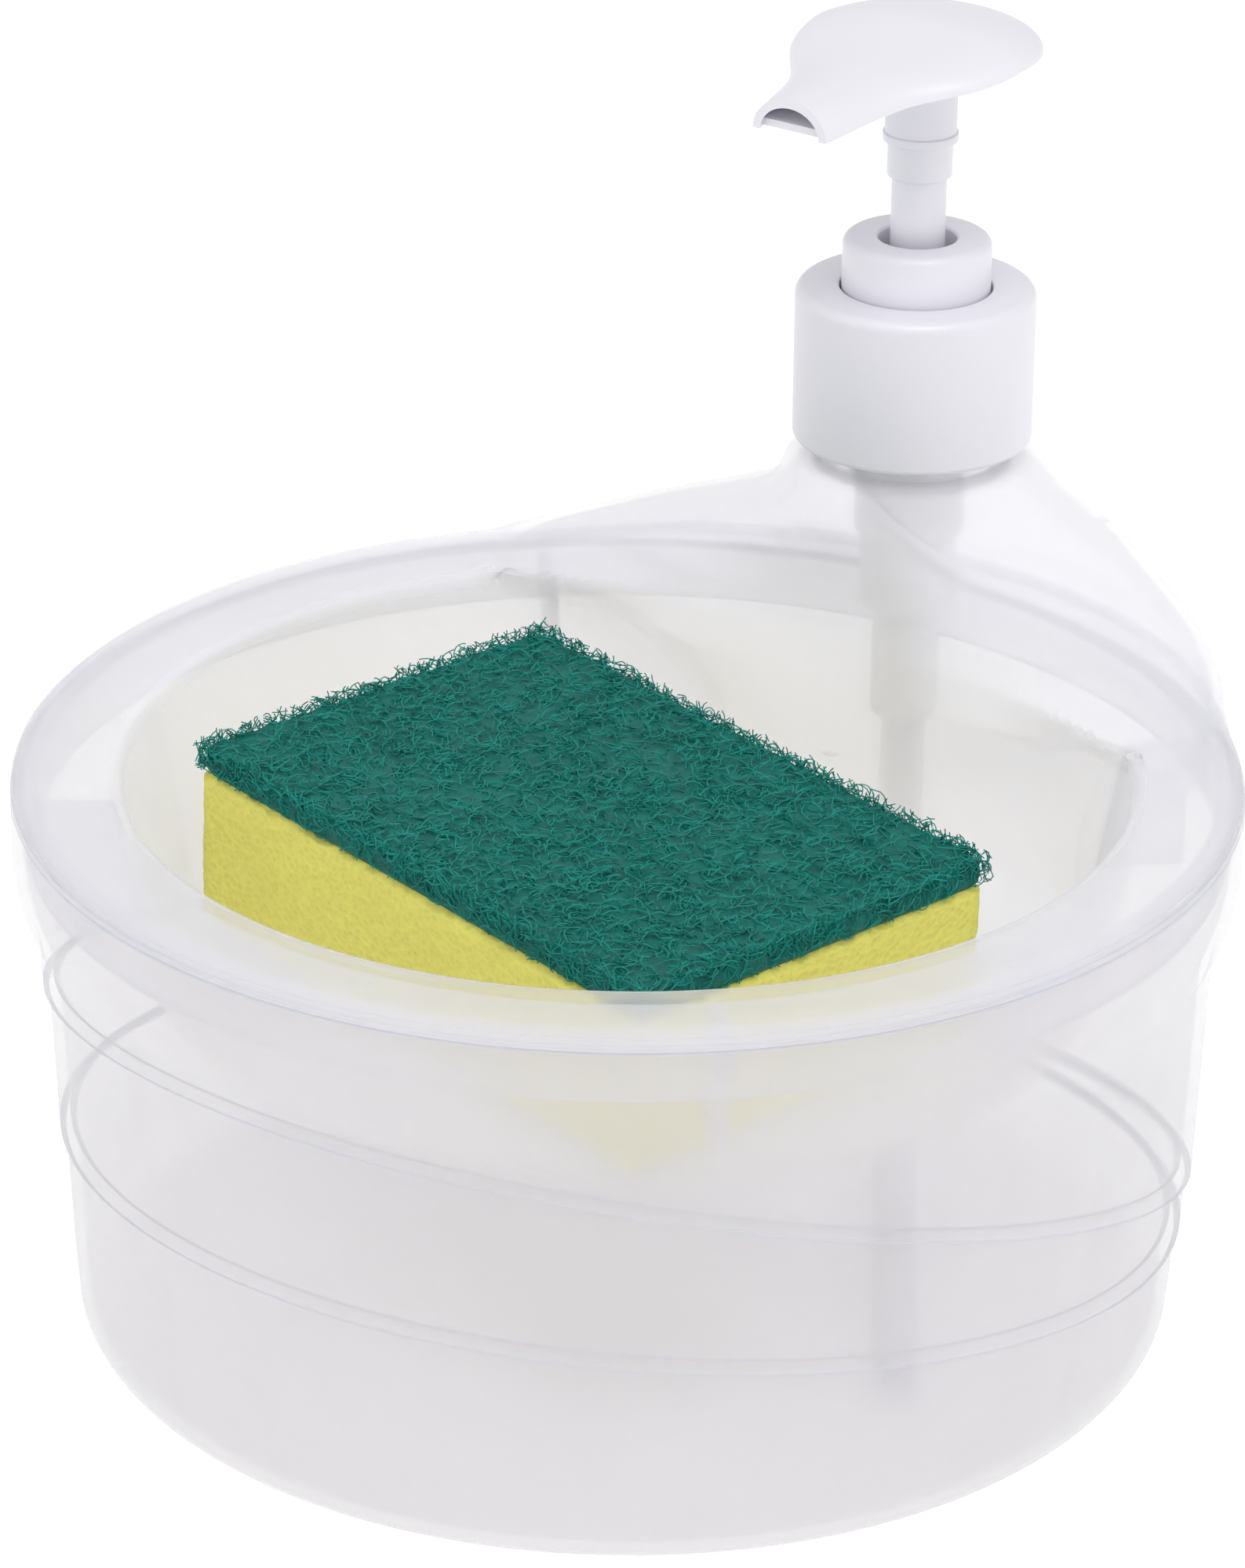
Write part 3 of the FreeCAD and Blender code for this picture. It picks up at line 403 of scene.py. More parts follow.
class Finish:
    """A material with one principled surface, to which one method adds nodes."""

    def __init__(self, name, **constants):
        self.material = bpy.data.materials.new(name)
        self.material.use_nodes = True
        self.tree = self.material.node_tree
        self.surface = next(n for n in self.tree.nodes if n.type == "BSDF_PRINCIPLED")
        for socket, value in constants.items():
            self.surface.inputs[socket.replace("_", " ")].default_value = value

    def node(self, kind, settings=None, sockets=None, output=0):
        made = self.tree.nodes.new(kind)
        for name, value in (settings or {}).items():
            setattr(made, name, value)
        for name, value in (sockets or {}).items():
            self.feed(made.inputs[name], value)
        return Socket(self, made.outputs[output])

    def feed(self, socket, value):
        if isinstance(value, Socket):
            self.tree.links.new(value.link, socket)
        else:
            socket.default_value = value

    def drive(self, **values):
        """Feeds the surface's own sockets."""
        for socket, value in values.items():
            self.feed(self.surface.inputs[socket.replace("_", " ")], value)

    def place(self):
        """The point on the piece, in metres."""
        return self.node("ShaderNodeTexCoord", output="Object")

    def noise(self, scale, detail=3.0, roughness=0.5):
        sockets = {"Vector": self.place(), "Scale": scale, "Detail": detail, "Roughness": roughness}
        return self.node("ShaderNodeTexNoise", None, sockets)

    def cells(self, scale, feature="F1"):
        sockets = {"Vector": self.place(), "Scale": scale}
        return self.node("ShaderNodeTexVoronoi", {"feature": feature}, sockets)

    def mix(self, factor, first, second):
        settings = {"data_type": "RGBA"}
        sockets = {0: factor, 6: first, 7: second}
        return self.node("ShaderNodeMix", settings, sockets, output=2)

    def tones(self, pattern, colour, dark, light):
        """A colour that goes from darker to lighter with a pattern."""
        return self.mix(pattern, shade(colour, dark), shade(colour, light))

    def bump(self, height, strength, distance):
        sockets = {"Height": height, "Strength": strength, "Distance": distance}
        return self.node("ShaderNodeBump", None, sockets)


def shade(colour, factor):
    """A colour made lighter or darker, with its alpha."""
    return tuple(min(channel * factor, 1.0) for channel in colour) + (1.0,)


def varied(middle, pattern, swing):
    """A value that swings about its middle with a pattern."""
    return middle + swing * (pattern - PATTERN_MIDDLE)


def milky_finish(name, colour, milkiness, spread, roughness):
    """Milky plastic that shows what is behind it and spreads light, with flow clouds and a moulded grain."""
    finish = Finish(name, Transmission_Weight=spread, IOR=1.12, Specular_IOR_Level=0.8)
    clouds = finish.noise(scale=28.0, detail=2.0, roughness=0.55)
    grain = finish.noise(scale=900.0, detail=1.0)
    finish.drive(
        Base_Color=finish.tones(clouds, colour, dark=0.97, light=1.03),
        Alpha=varied(milkiness, clouds, swing=0.1),
        Roughness=varied(varied(roughness, clouds, swing=0.08), grain, swing=0.04),
        Normal=finish.bump(grain, strength=0.06, distance=GRAIN_DEPTH))
    return finish.material


def pump_finish(name, colour):
    """White moulded plastic with a soft sheen, faint mould clouds and a fine grain."""
    finish = Finish(name, Coat_Weight=0.12, Coat_Roughness=0.25)
    clouds = finish.noise(scale=45.0, detail=4.0, roughness=0.55)
    grain = finish.noise(scale=1200.0, detail=2.0)
    satin = 0.36
    finish.drive(
        Base_Color=finish.tones(clouds, colour, dark=0.97, light=1.02),
        Roughness=varied(varied(satin, clouds, swing=0.12), grain, swing=0.05),
        Normal=finish.bump(grain, strength=0.05, distance=GRAIN_DEPTH))
    return finish.material


def inner_finish(name, colour, roughness, metallic=0.0):
    """Finish of the pieces inside the pump."""
    finish = Finish(name, Metallic=metallic)
    clouds = finish.noise(scale=120.0, detail=4.0)
    drawn = finish.noise(scale=1500.0, detail=2.0)
    finish.drive(
        Base_Color=finish.tones(clouds, colour, dark=0.92, light=1.04),
        Roughness=varied(roughness, drawn, swing=0.1),
        Normal=finish.bump(drawn, strength=0.05, distance=GRAIN_DEPTH))
    return finish.material


def foam_finish(colour):
    """Open-cell foam: fine pores with painted shade in their low bottoms and painted light on their raised
    rims, with random clouds of tone.
    """
    finish = Finish("yellow_foam", Specular_IOR_Level=0.2)
    pores = finish.cells(scale=1100.0)
    clouds = finish.noise(scale=60.0, detail=5.0, roughness=0.6)
    speckle = finish.noise(scale=700.0, detail=3.0, roughness=0.7)
    # The pores' depth drives both the bump and the colour, so the colour is darker where the bump is low:
    # painted shade in the pores.
    depth = pores * 0.7 + speckle * 0.6
    dry = 0.85
    finish.drive(
        Base_Color=finish.tones(depth * 0.6 + clouds * 0.4, colour, dark=0.86, light=1.14),
        Roughness=varied(dry, clouds, swing=0.1),
        Normal=finish.bump(depth, strength=0.5, distance=PORE_DEPTH))
    return finish.material


def pad_finish(name, colour, painted_brightness):
    """Scouring fibre: painted shade in the low places between the strands and painted highlight on the
    raised strands, following the bump's clumps.
    """
    finish = Finish(name, Specular_IOR_Level=0.25)
    clumps = finish.noise(scale=420.0, detail=4.0, roughness=0.65)
    strands = finish.cells(scale=650.0, feature="DISTANCE_TO_EDGE")
    waxy = 0.55
    finish.drive(
        # The clumps that raise the bump also lighten the colour: painted shade where low, painted highlight
        # where high. painted_brightness sets how lit the whole finish is painted.
        Base_Color=finish.tones(clumps, colour, dark=0.4 * painted_brightness, light=1.65 * painted_brightness),
        Roughness=varied(waxy, clumps, swing=0.25),
        Normal=finish.bump(clumps + strands * 0.5, strength=0.6, distance=STRAND_DEPTH))
    return finish.material


def floor_finish(colour):
    """Pale floor with a faint light of its own, so that it shows as plain white."""
    finish = Finish("pale_floor", Specular_IOR_Level=0.1, Emission_Strength=FLOOR_GLOW)
    finish.surface.inputs["Emission Color"].default_value = shade(colour, 1.0)
    clouds = finish.noise(scale=1.5, detail=3.0)
    matt = 0.7
    finish.drive(
        Base_Color=finish.tones(clouds, colour, dark=0.995, light=1.0),
        Roughness=varied(matt, clouds, swing=0.05))
    return finish.material


class Form:
    """Points and faces of one piece, gathered from its parts."""

    def __init__(self):
        self.points = []
        self.faces = []
        self.edge_faces = set()

    def add(self, points, faces):
        start = len(self.points)
        self.points += [tuple(point) for point in points]
        self.faces += [tuple(start + index for index in face) for face in faces]
        return self

    def mark_edges(self, is_edge):
        """Marks the faces whose middle, as radius and height, passes a test."""
        for number, face in enumerate(self.faces):
            corners = [self.points[index] for index in face]
            x, y, z = (sum(values) / len(corners) for values in zip(*corners))
            if is_edge(math.hypot(x, y), z):
                self.edge_faces.add(number)

    def piece(self, name, material, body, replaced, slot, sharp=math.radians(38), edge_material=None):
        """The finished object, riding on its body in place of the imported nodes."""
        mesh = bpy.data.meshes.new(name)
        mesh.from_pydata(self.points, [], self.faces)
        slots = [int(number in self.edge_faces) for number in range(len(self.faces))]
        mesh.polygons.foreach_set("material_index", slots)
        work = bmesh.new()
        work.from_mesh(mesh)
        bmesh.ops.remove_doubles(work, verts=work.verts, dist=1e-7)
        bmesh.ops.dissolve_degenerate(work, edges=work.edges, dist=1e-7)
        bmesh.ops.recalc_face_normals(work, faces=work.faces)
        for face in work.faces:
            face.smooth = True
        for edge in work.edges:
            edge.smooth = len(edge.link_faces) == 2 and edge.calc_face_angle(0.0) < sharp
        work.to_mesh(mesh)
        work.free()
        mesh.materials.append(material)
        if edge_material:
            mesh.materials.append(edge_material)
        made = bpy.data.objects.new(name, mesh)
        bpy.context.scene.collection.objects.link(made)
        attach(made, body)
        if replaced:
            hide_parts(*replaced)
        return made


def rounded(corners, steps=6):
    """Outline points from (r, z) corners, each rounded where a third number gives a radius."""
    outline = []
    count = len(corners)
    for index, corner in enumerate(corners):
        here = Vector(corner[:2])
        if len(corner) == 2:
            outline.append(tuple(here))
            continue
        back = (Vector(corners[index - 1][:2]) - here).normalized()
        ahead = (Vector(corners[(index + 1) % count][:2]) - here).normalized()
        half_angle = back.angle(ahead) / 2
        reach = corner[2] / math.tan(half_angle)
        centre = here + (back + ahead).normalized() * (corner[2] / math.sin(half_angle))
        start = here + back * reach - centre
        end = here + ahead * reach - centre
        for step in range(steps + 1):
            share = step / steps
            arm = (start * (1 - share) + end * share).normalized() * corner[2]
            outline.append(tuple(centre + arm))
    return outline


def ring_faces(corners, sections):
    """Faces of a run of sections that comes back to its first one."""
    faces = []
    for section in range(sections):
        here = section * corners
        there = (section + 1) % sections * corners
        for corner in range(corners):
            ahead = (corner + 1) % corners
            faces.append((here + corner, there + corner, there + ahead, here + ahead))
    return faces


def sleeve_faces(corners, sections):
    """Faces of a run of sections that is closed at both ends, the two ends first."""
    last = corners * (sections - 1)
    faces = [tuple(reversed(range(corners))), tuple(range(last, last + corners))]
    for start in range(0, last, corners):
        for corner in range(corners):
            ahead = (corner + 1) % corners
            faces.append((start + corner, start + ahead, start + corners + ahead, start + corners + corner))
    return faces


def turned(outline, y=0.0, segments=TURNED_SEGMENTS):
    """A closed outline turned about the upright line at (0, y)."""
    points = []
    for segment in range(segments):
        angle = 2 * math.pi * segment / segments
        points += [(r * math.sin(angle), y + r * math.cos(angle), z) for r, z in outline]
    return points, ring_faces(len(outline), segments)


def smooth_line(stops, samples=240):
    """A smooth curve through stops, as rows of numbers, with tangents from the neighbouring stops."""
    stops = np.array(stops, float)
    lengths = np.linalg.norm(np.diff(stops, axis=0), axis=1)
    places = np.concatenate([[0], np.cumsum(lengths)])
    slopes = np.gradient(stops, places, axis=0)
    wanted = np.linspace(0, places[-1], samples)
    span = np.clip(np.searchsorted(places, wanted, side="right") - 1, 0, len(lengths) - 1)
    length = lengths[span][:, None]
    share = ((wanted - places[span]) / lengths[span])[:, None]
    first, second = stops[span], stops[span + 1]
    leave, arrive = slopes[span] * length, slopes[span + 1] * length
    return ((2 * share ** 3 - 3 * share ** 2 + 1) * first + (share ** 3 - 2 * share ** 2 + share) * leave
            + (3 * share ** 2 - 2 * share ** 3) * second + (share ** 3 - share ** 2) * arrive)


def wall_radius(height, steps, inset):
    """Radius of the bowl's drafted wall at a height, with a number of steps drawn in."""
    wall_top = BOWL_TOP - RIM_BAND - FLARE_HEIGHT
    drawn_in = math.tan(WALL_DRAFT) * (wall_top - height)
    return RIM_RADIUS - FLARE_REACH - inset - drawn_in - steps * WALL_STEP


def bowl_column(angle, inset, floor, corner):
    """One upright line of the bowl's skin, from the middle of its floor to the rim."""
    wall_top = BOWL_TOP - RIM_BAND - FLARE_HEIGHT
    base = wall_radius(floor, 2, inset)
    column = [(base * share, floor) for share in FLOOR_SHARES]
    column += rounded([(0, floor), (base, floor, corner), (base, wall_top)], CORNER_STEPS)[1:-1]
    y = wall_radius(wall_top / 2, 1, inset) * math.cos(angle)
    low = floor + corner
    for done, (height, slope) in enumerate(WALL_STEPS):
        ledge = height + inset - math.tan(slope) * y
        for share in WALL_SHARES:
            level = low + (ledge - STEP_SOFT - low) * share
            column.append((wall_radius(level, 2 - done, inset), level))
        column.append((wall_radius(ledge, 2 - done, inset), ledge - STEP_SOFT))
        column.append((wall_radius(ledge, 1 - done, inset), ledge + STEP_SOFT))
        low = ledge + STEP_SOFT + STEP_LINE
        column.append((wall_radius(low, 1 - done, inset), low))
    for share in TOP_SHARES:
        level = low + (wall_top - low) * share
        column.append((wall_radius(level, 0, inset), level))
    flare_radius = (FLARE_REACH ** 2 + FLARE_HEIGHT ** 2) / (2 * FLARE_REACH)
    for step in range(FLARE_STEPS + 1):
        drop = FLARE_HEIGHT * (1 - step / FLARE_STEPS)
        drawn_in = flare_radius - math.sqrt(flare_radius ** 2 - drop ** 2)
        column.append((RIM_RADIUS - inset - drawn_in, BOWL_TOP - RIM_BAND - drop))
    return column


def step_rows(rows):
    """The rows of the bowl's grid that make its two ledges and their edges, outside and inside."""
    first = len(FLOOR_SHARES) + CORNER_STEPS + 1 + len(WALL_SHARES)
    apart = len(WALL_SHARES) + 3
    outside = [first + step * apart + row for step in range(len(WALL_STEPS)) for row in (0, 1)]
    return set(outside + [rows - 2 - row for row in outside])


def bowl_form():
    """The bowl's wall, floor and lip, with its ledges and lip marked as edges."""
    segments = 2 * TURNED_SEGMENTS
    columns = []
    for segment in range(segments):
        angle = 2 * math.pi * segment / segments
        outside = bowl_column(angle, 0, 0, BASE_CORNER)
        inside = bowl_column(angle, BOWL_WALL, BOWL_FLOOR, BASE_CORNER - BOWL_WALL)
        lip = rounded([
            (RIM_RADIUS, BOWL_TOP - RIM_BAND),
            (RIM_RADIUS, BOWL_TOP, LIP_ROUND),
            (RIM_RADIUS - BOWL_WALL, BOWL_TOP, LIP_ROUND),
            (RIM_RADIUS - BOWL_WALL, BOWL_TOP - RIM_BAND),
        ], 4)[1:-1]
        column = outside + lip + inside[::-1]
        columns.append([(r * math.sin(angle), r * math.cos(angle), z) for r, z in column])
    rows = len(columns[0])
    ledges = step_rows(rows)
    form = Form()
    faces = []
    for segment in range(segments):
        here = segment * rows
        there = (segment + 1) % segments * rows
        for row in range(rows - 1):
            if row in ledges:
                form.edge_faces.add(len(faces))
            faces.append((here + row, there + row, there + row + 1, here + row + 1))
    form.add([point for column in columns for point in column], faces)
    form.mark_edges(lambda radius, height: height > BOWL_TOP - LIP_ROUND)
    return form


def outline_distance(outline, radius, height):
    """Signed distance to a closed outline, negative inside it."""
    nearest = np.full(radius.shape, 1e9)
    inside = np.zeros(radius.shape, bool)
    for (r0, z0), (r1, z1) in zip(outline, outline[1:] + outline[:1]):
        dr, dz = r1 - r0, z1 - z0
        length = dr * dr + dz * dz
        if length < 1e-16:
            continue
        share = np.clip(((radius - r0) * dr + (height - z0) * dz) / length, 0, 1)
        nearest = np.minimum(nearest, np.hypot(radius - r0 - share * dr, height - z0 - share * dz))
        if dz != 0:
            crosses = ((z0 > height) != (z1 > height)) & (radius < r0 + dr * (height - z0) / dz)
            inside ^= crosses
    return np.where(inside, -nearest, nearest)


def smooth_least(first, second, blend):
    """The smaller of two distances, with a soft fillet where they meet."""
    share = np.clip(0.5 + 0.5 * (second - first) / blend, 0, 1)
    return second * (1 - share) + first * share - blend * share * (1 - share)


class TrayField:
    """Signed distance of the tray's filled form: the turned dish and rim, blended with the pump's boss."""

    def __init__(self):
        under = DISH_FLOOR - 4 * TRAY_WALL
        self.outline = rounded([
            (-RIM_RADIUS, under),
            (RIM_RADIUS, under),
            (RIM_RADIUS, TRAY_TOP, RIM_ROUND),
            (DISH_RADIUS, TRAY_TOP - RIM_FALL, DISH_EDGE_ROUND),
            (DISH_RADIUS - DISH_TAPER, DISH_FLOOR, DISH_CORNER),
            (-RIM_RADIUS, DISH_FLOOR),
        ])
        self.flank = smooth_line(BOSS_FLANK)
        self.stops = np.array(BOSS_STOPS)

    def boss(self, x, y, z):
        back, front, power, bend = (np.interp(z, self.stops[:, 0], self.stops[:, n]) for n in (1, 2, 3, 4))
        along = (1 - bend) * x + bend * PUMP_Y * np.arctan2(x, y)
        across = (1 - bend) * y + bend * np.hypot(x, y) - PUMP_Y
        half = np.where(across > 0, back, front)
        reach = np.interp(z, self.flank[:, 0], self.flank[:, 1])
        share = np.clip(1 + across / DISH_SIDE_FADE, 0, 1)
        share = share * share * (3 - 2 * share)
        reach = share * reach + (1 - share) * np.minimum(reach, DISH_SIDE_REACH)
        oval = ((np.abs(along) / reach) ** power + (np.abs(across) / half) ** power) ** (1 / power)
        oval = np.maximum(oval, 1e-3)
        sides = np.hypot(along, across) * (1 - 1 / oval)
        return -smooth_least(-sides, PLATFORM - z, BOSS_TOP_ROUND)

    def __call__(self, points):
        x, y, z = points.T
        dish = outline_distance(self.outline, np.hypot(x, y), z)
        blend = np.interp(z, BLEND_HEIGHTS, BLEND_SIZES)
        return smooth_least(dish, self.boss(x, y, z), blend)

    def settled(self, points, level, rounds=8):
        """Points moved onto the surface at a distance from the skin."""
        points = points.copy()
        probe = 0.05 * MM
        least_steep = 0.05
        for _ in range(rounds):
            value = self(points) - level
            slope = np.stack([
                self(points + probe * axis) - self(points - probe * axis) for axis in np.eye(3)
            ], 1) / (2 * probe)
            steep = np.maximum((slope ** 2).sum(1), least_steep)
            move = slope * (value / steep)[:, None]
            reach = np.maximum(np.linalg.norm(move, axis=1) / GRID_STEP, 1)
            points -= move / reach[:, None]
        return points


def polar_skin(field):
    """A skin of quads on the field's surface, on a grid that goes round the dish's axis."""
    radii = np.arange(GRID_START, RIM_RADIUS + BOSS_OVERHANG, GRID_STEP)
    heights = np.arange(DISH_FLOOR - 2 * TRAY_WALL, PLATFORM + GRID_HEADROOM, GRID_STEP)
    angles = 2 * np.pi * np.arange(GRID_TURNS) / GRID_TURNS
    shape = (GRID_TURNS, len(radii), len(heights))
    turn, radius, height = np.meshgrid(angles, radii, heights, indexing="ij")
    spots = np.stack([radius * np.sin(turn), radius * np.cos(turn), height], -1).reshape(-1, 3)
    inside = (field(spots) < 0).reshape(shape)

    ring = np.concatenate([inside, inside[:1]])
    filled = sum(
        ring[a:a + GRID_TURNS, b:b + shape[1] - 1, c:c + shape[2] - 1].astype(int)
        for a in (0, 1) for b in (0, 1) for c in (0, 1))
    mixed = (filled > 0) & (filled < 8)
    index = np.full(mixed.shape, -1)
    index[mixed] = np.arange(mixed.sum())
    a, b, c = np.nonzero(mixed)
    turn = 2 * np.pi * (a + 0.5) / GRID_TURNS
    radius = radii[b] + GRID_STEP / 2
    points = np.stack([radius * np.sin(turn), radius * np.cos(turn), heights[c] + GRID_STEP / 2], 1)

    faces = []
    before = np.roll(index, 1, axis=0)
    changes = inside[:, 1:-1, 1:-1] != np.roll(inside, -1, axis=0)[:, 1:-1, 1:-1]
    quads = np.stack([index[:, :-1, :-1], index[:, 1:, :-1], index[:, 1:, 1:], index[:, :-1, 1:]], -1)
    faces.append(quads[changes])
    changes = inside[:, :-1, 1:-1] != inside[:, 1:, 1:-1]
    quads = np.stack([index[:, :, :-1], index[:, :, 1:], before[:, :, 1:], before[:, :, :-1]], -1)
    faces.append(quads[changes])
    changes = inside[:, 1:-1, :-1] != inside[:, 1:-1, 1:]
    quads = np.stack([index[:, :-1, :], index[:, 1:, :], before[:, 1:, :], before[:, :-1, :]], -1)
    faces.append(quads[changes])
    return points, np.concatenate(faces)


def facing_out(points, faces, field):
    """The faces turned so that their normals point out of the field."""
    corners = points[faces]
    normal = np.cross(corners[:, 2] - corners[:, 0], corners[:, 3] - corners[:, 1])
    normal /= np.maximum(np.linalg.norm(normal, axis=1), 1e-12)[:, None]
    centre = corners.mean(1)
    probe = 0.3 * MM
    turned_in = field(centre + probe * normal) < field(centre - probe * normal)
    faces = faces.copy()
    faces[turned_in] = faces[turned_in][:, ::-1]
    return faces


def shell(outer, inner, faces):
    """A closed wall between two skins that share their faces."""
    count = len(outer)
    skin = [tuple(face) for face in faces]
    directed = {(face[i], face[(i + 1) % 4]) for face in skin for i in range(4)}
    rim = [(b, a, a + count, b + count) for a, b in directed if (b, a) not in directed]
    lining = [tuple(index + count for index in reversed(face)) for face in skin]
    return np.concatenate([outer, inner]), skin + lining + rim


def tray_skin(form):
    """The tray's blended wall, open under the rim and at the pump's neck."""
    field = TrayField()
    points, faces = polar_skin(field)
    outer = field.settled(points, 0.0)
    radius = np.hypot(outer[:, 0], outer[:, 1])
    from_pump = np.hypot(outer[:, 0], outer[:, 1] - PUMP_Y)
    below_rim = (radius > RIM_INSIDE) & (outer[:, 2] < BOWL_TOP - GRID_STEP / 2)
    in_neck = (from_pump < NECK_OPENING) & (outer[:, 2] > TRAY_TOP)
    under = outer[:, 2] < DISH_FLOOR - TRAY_WALL / 2
    dropped = below_rim | in_neck | under
    faces = faces[~dropped[faces].any(1)]
    kept = np.unique(faces)
    renumber = np.full(len(outer), -1)
    renumber[kept] = np.arange(len(kept))
    outer = outer[kept]
    faces = facing_out(outer, renumber[faces], field)
    inner = field.settled(outer, -TRAY_WALL)
    low = (radius[kept] > RIM_INSIDE) & (outer[:, 2] < BOWL_TOP + GRID_STEP / 2)
    outer[low, 2] = BOWL_TOP
    inner[low, 2] = BOWL_TOP
    form.add(*shell(outer, inner, faces))
    underside = DISH_FLOOR - TRAY_WALL
    form.add(*turned([(0, DISH_FLOOR), (HUB_RADIUS, DISH_FLOOR), (HUB_RADIUS, underside), (0, underside)]))
    return outer[low]


def tray_ledge(form, rim_points):
    """The flat ring under the rim that rests on the bowl, as wide as the boss's back reaches."""
    angles = np.arctan2(rim_points[:, 0], rim_points[:, 1]) % (2 * math.pi)
    order = np.argsort(angles)
    reach = np.hypot(rim_points[order, 0], rim_points[order, 1])
    angles = angles[order]
    top = BOWL_TOP + TRAY_WALL
    segments = 2 * TURNED_SEGMENTS
    points = []
    for segment in range(segments):
        angle = 2 * math.pi * segment / segments
        outer = np.interp(angle, angles, reach, period=2 * math.pi) - LEDGE_INSET
        corners = ((PLUG_INNER, BOWL_TOP), (outer, BOWL_TOP), (outer, top), (PLUG_INNER, top))
        points += [(r * math.sin(angle), r * math.cos(angle), z) for r, z in corners]
    form.add(points, ring_faces(len(corners), segments))


def tray_rib(form, angle):
    """A locating rib under the rim, from the dish's wall to the plug skirt."""
    lowest = BOWL_TOP - RIB_DEPTH
    edge = TRAY_TOP - RIM_FALL
    outer = RIM_RADIUS - FLARE_REACH - BOWL_WALL - RIB_CLEARANCE
    wall_at_lowest = DISH_RADIUS + TRAY_WALL / 2 - DISH_TAPER / DISH_DEPTH * (edge - lowest)
    outline = (
        (wall_at_lowest, lowest),
        (outer, lowest),
        (outer, BOWL_TOP - PLUG_DEPTH),
        (PLUG_INNER + TRAY_WALL / 2, BOWL_TOP - PLUG_DEPTH + TRAY_WALL),
        (PLUG_INNER + TRAY_WALL / 2, edge - TRAY_WALL / 2),
        (DISH_RADIUS + TRAY_WALL / 2, edge - TRAY_WALL),
    )
    out = Vector((math.sin(angle), math.cos(angle), 0))
    aside = Vector((math.cos(angle), -math.sin(angle), 0)) * (RIB_THICKNESS / 2)
    points = [out * r + Vector((0, 0, z)) + aside * side for side in (-1, 1) for r, z in outline]
    count = len(outline)
    faces = [tuple(range(count)), tuple(range(2 * count - 1, count - 1, -1))]
    for index in range(count):
        ahead = (index + 1) % count
        faces.append((index, index + count, ahead + count, ahead))
    form.add(points, faces)


def tray_form():
    """The tray: its blended skin, ledge, plug skirt, neck and ribs, with the edges marked."""
    form = Form()
    rim_points = tray_skin(form)
    tray_ledge(form, rim_points)
    form.add(*turned(rounded([
        (PLUG_INNER, BOWL_TOP - PLUG_DEPTH, PLUG_ROUND),
        (PLUG_OUTER, BOWL_TOP - PLUG_DEPTH, PLUG_ROUND),
        (PLUG_OUTER, BOWL_TOP + TRAY_WALL / 2),
        (PLUG_INNER, BOWL_TOP + TRAY_WALL / 2),
    ], 3), 0, 2 * TURNED_SEGMENTS))
    form.add(*turned(rounded([
        (NECK_BORE, PLATFORM - TRAY_WALL),
        (NECK_RADIUS, PLATFORM - TRAY_WALL),
        (NECK_RADIUS, NECK_TOP, NECK_ROUND),
        (NECK_BORE, NECK_TOP, NECK_ROUND),
    ], 3), PUMP_Y))
    edge = TRAY_TOP - RIM_FALL
    skirt_low = BOWL_TOP - PLUG_DEPTH + LIP_ROUND
    form.mark_edges(lambda radius, height: (
        math.hypot(radius - DISH_RADIUS, height - edge) < EDGE_BAND
        or (radius > PLUG_INNER and height < skirt_low)
        or (radius > PLUG_OUTER and height < BOWL_TOP + LIP_ROUND)))
    first_rib_face = len(form.faces)
    for number in range(RIB_COUNT):
        tray_rib(form, 2 * math.pi / RIB_COUNT * (number + 0.5))
    form.edge_faces |= set(range(first_rib_face, len(form.faces)))
    return form


def collar_form():
    """The screw collar, open below, with a hole in its roof for the lock ring."""
    radius = (COLLAR_HIGH.x - COLLAR_LOW.x) / 2
    low, high = COLLAR_LOW.z, COLLAR_HIGH.z
    bore = NECK_RADIUS + COLLAR_CLEARANCE
    hole = (LOCK_HIGH.x - LOCK_LOW.x) / 2 + COLLAR_CLEARANCE
    return Form().add(*turned(rounded([
        (bore, low, COLLAR_ROUNDS["bore"]),
        (radius, low, COLLAR_ROUNDS["foot"]),
        (radius, high, COLLAR_ROUNDS["shoulder"]),
        (hole, high, COLLAR_ROUNDS["hole"]),
        (hole, high - COLLAR_ROOF),
        (bore, high - COLLAR_ROOF),
    ]), PUMP_Y))


def lock_ring_form():
    """The lock ring, with the stem's guide and the bore that takes the head's sleeve."""
    radius = (LOCK_HIGH.x - LOCK_LOW.x) / 2
    top = LOCK_HIGH.z
    flange = HOUSING_HIGH.z
    bore_floor = SLEEVE_BOTTOM - STROKE - LOCK_PLAY
    return Form().add(*turned(rounded([
        (LOCK_GUIDE, LOCK_LOW.z),
        (LOCK_SLEEVE, LOCK_LOW.z),
        (LOCK_SLEEVE, flange),
        (radius, flange),
        (radius, top, LOCK_TOP_ROUND),
        (LOCK_BORE, top, LOCK_BORE_ROUND),
        (LOCK_BORE, bore_floor),
        (LOCK_GUIDE, bore_floor),
    ]), PUMP_Y))


def stem_form():
    """The hollow stem, thinner where the piston seal sits on it."""
    radius = (STEM_HIGH.x - STEM_LOW.x) / 2
    piston_top = LOCK_LOW.z - STEM_PLAY
    return Form().add(*turned([
        (STEM_BORE, STEM_LOW.z),
        (STEM_TAIL, STEM_LOW.z),
        (STEM_TAIL, piston_top),
        (radius, piston_top),
        (radius, STEM_HIGH.z),
        (STEM_BORE, STEM_HIGH.z),
    ], PUMP_Y))


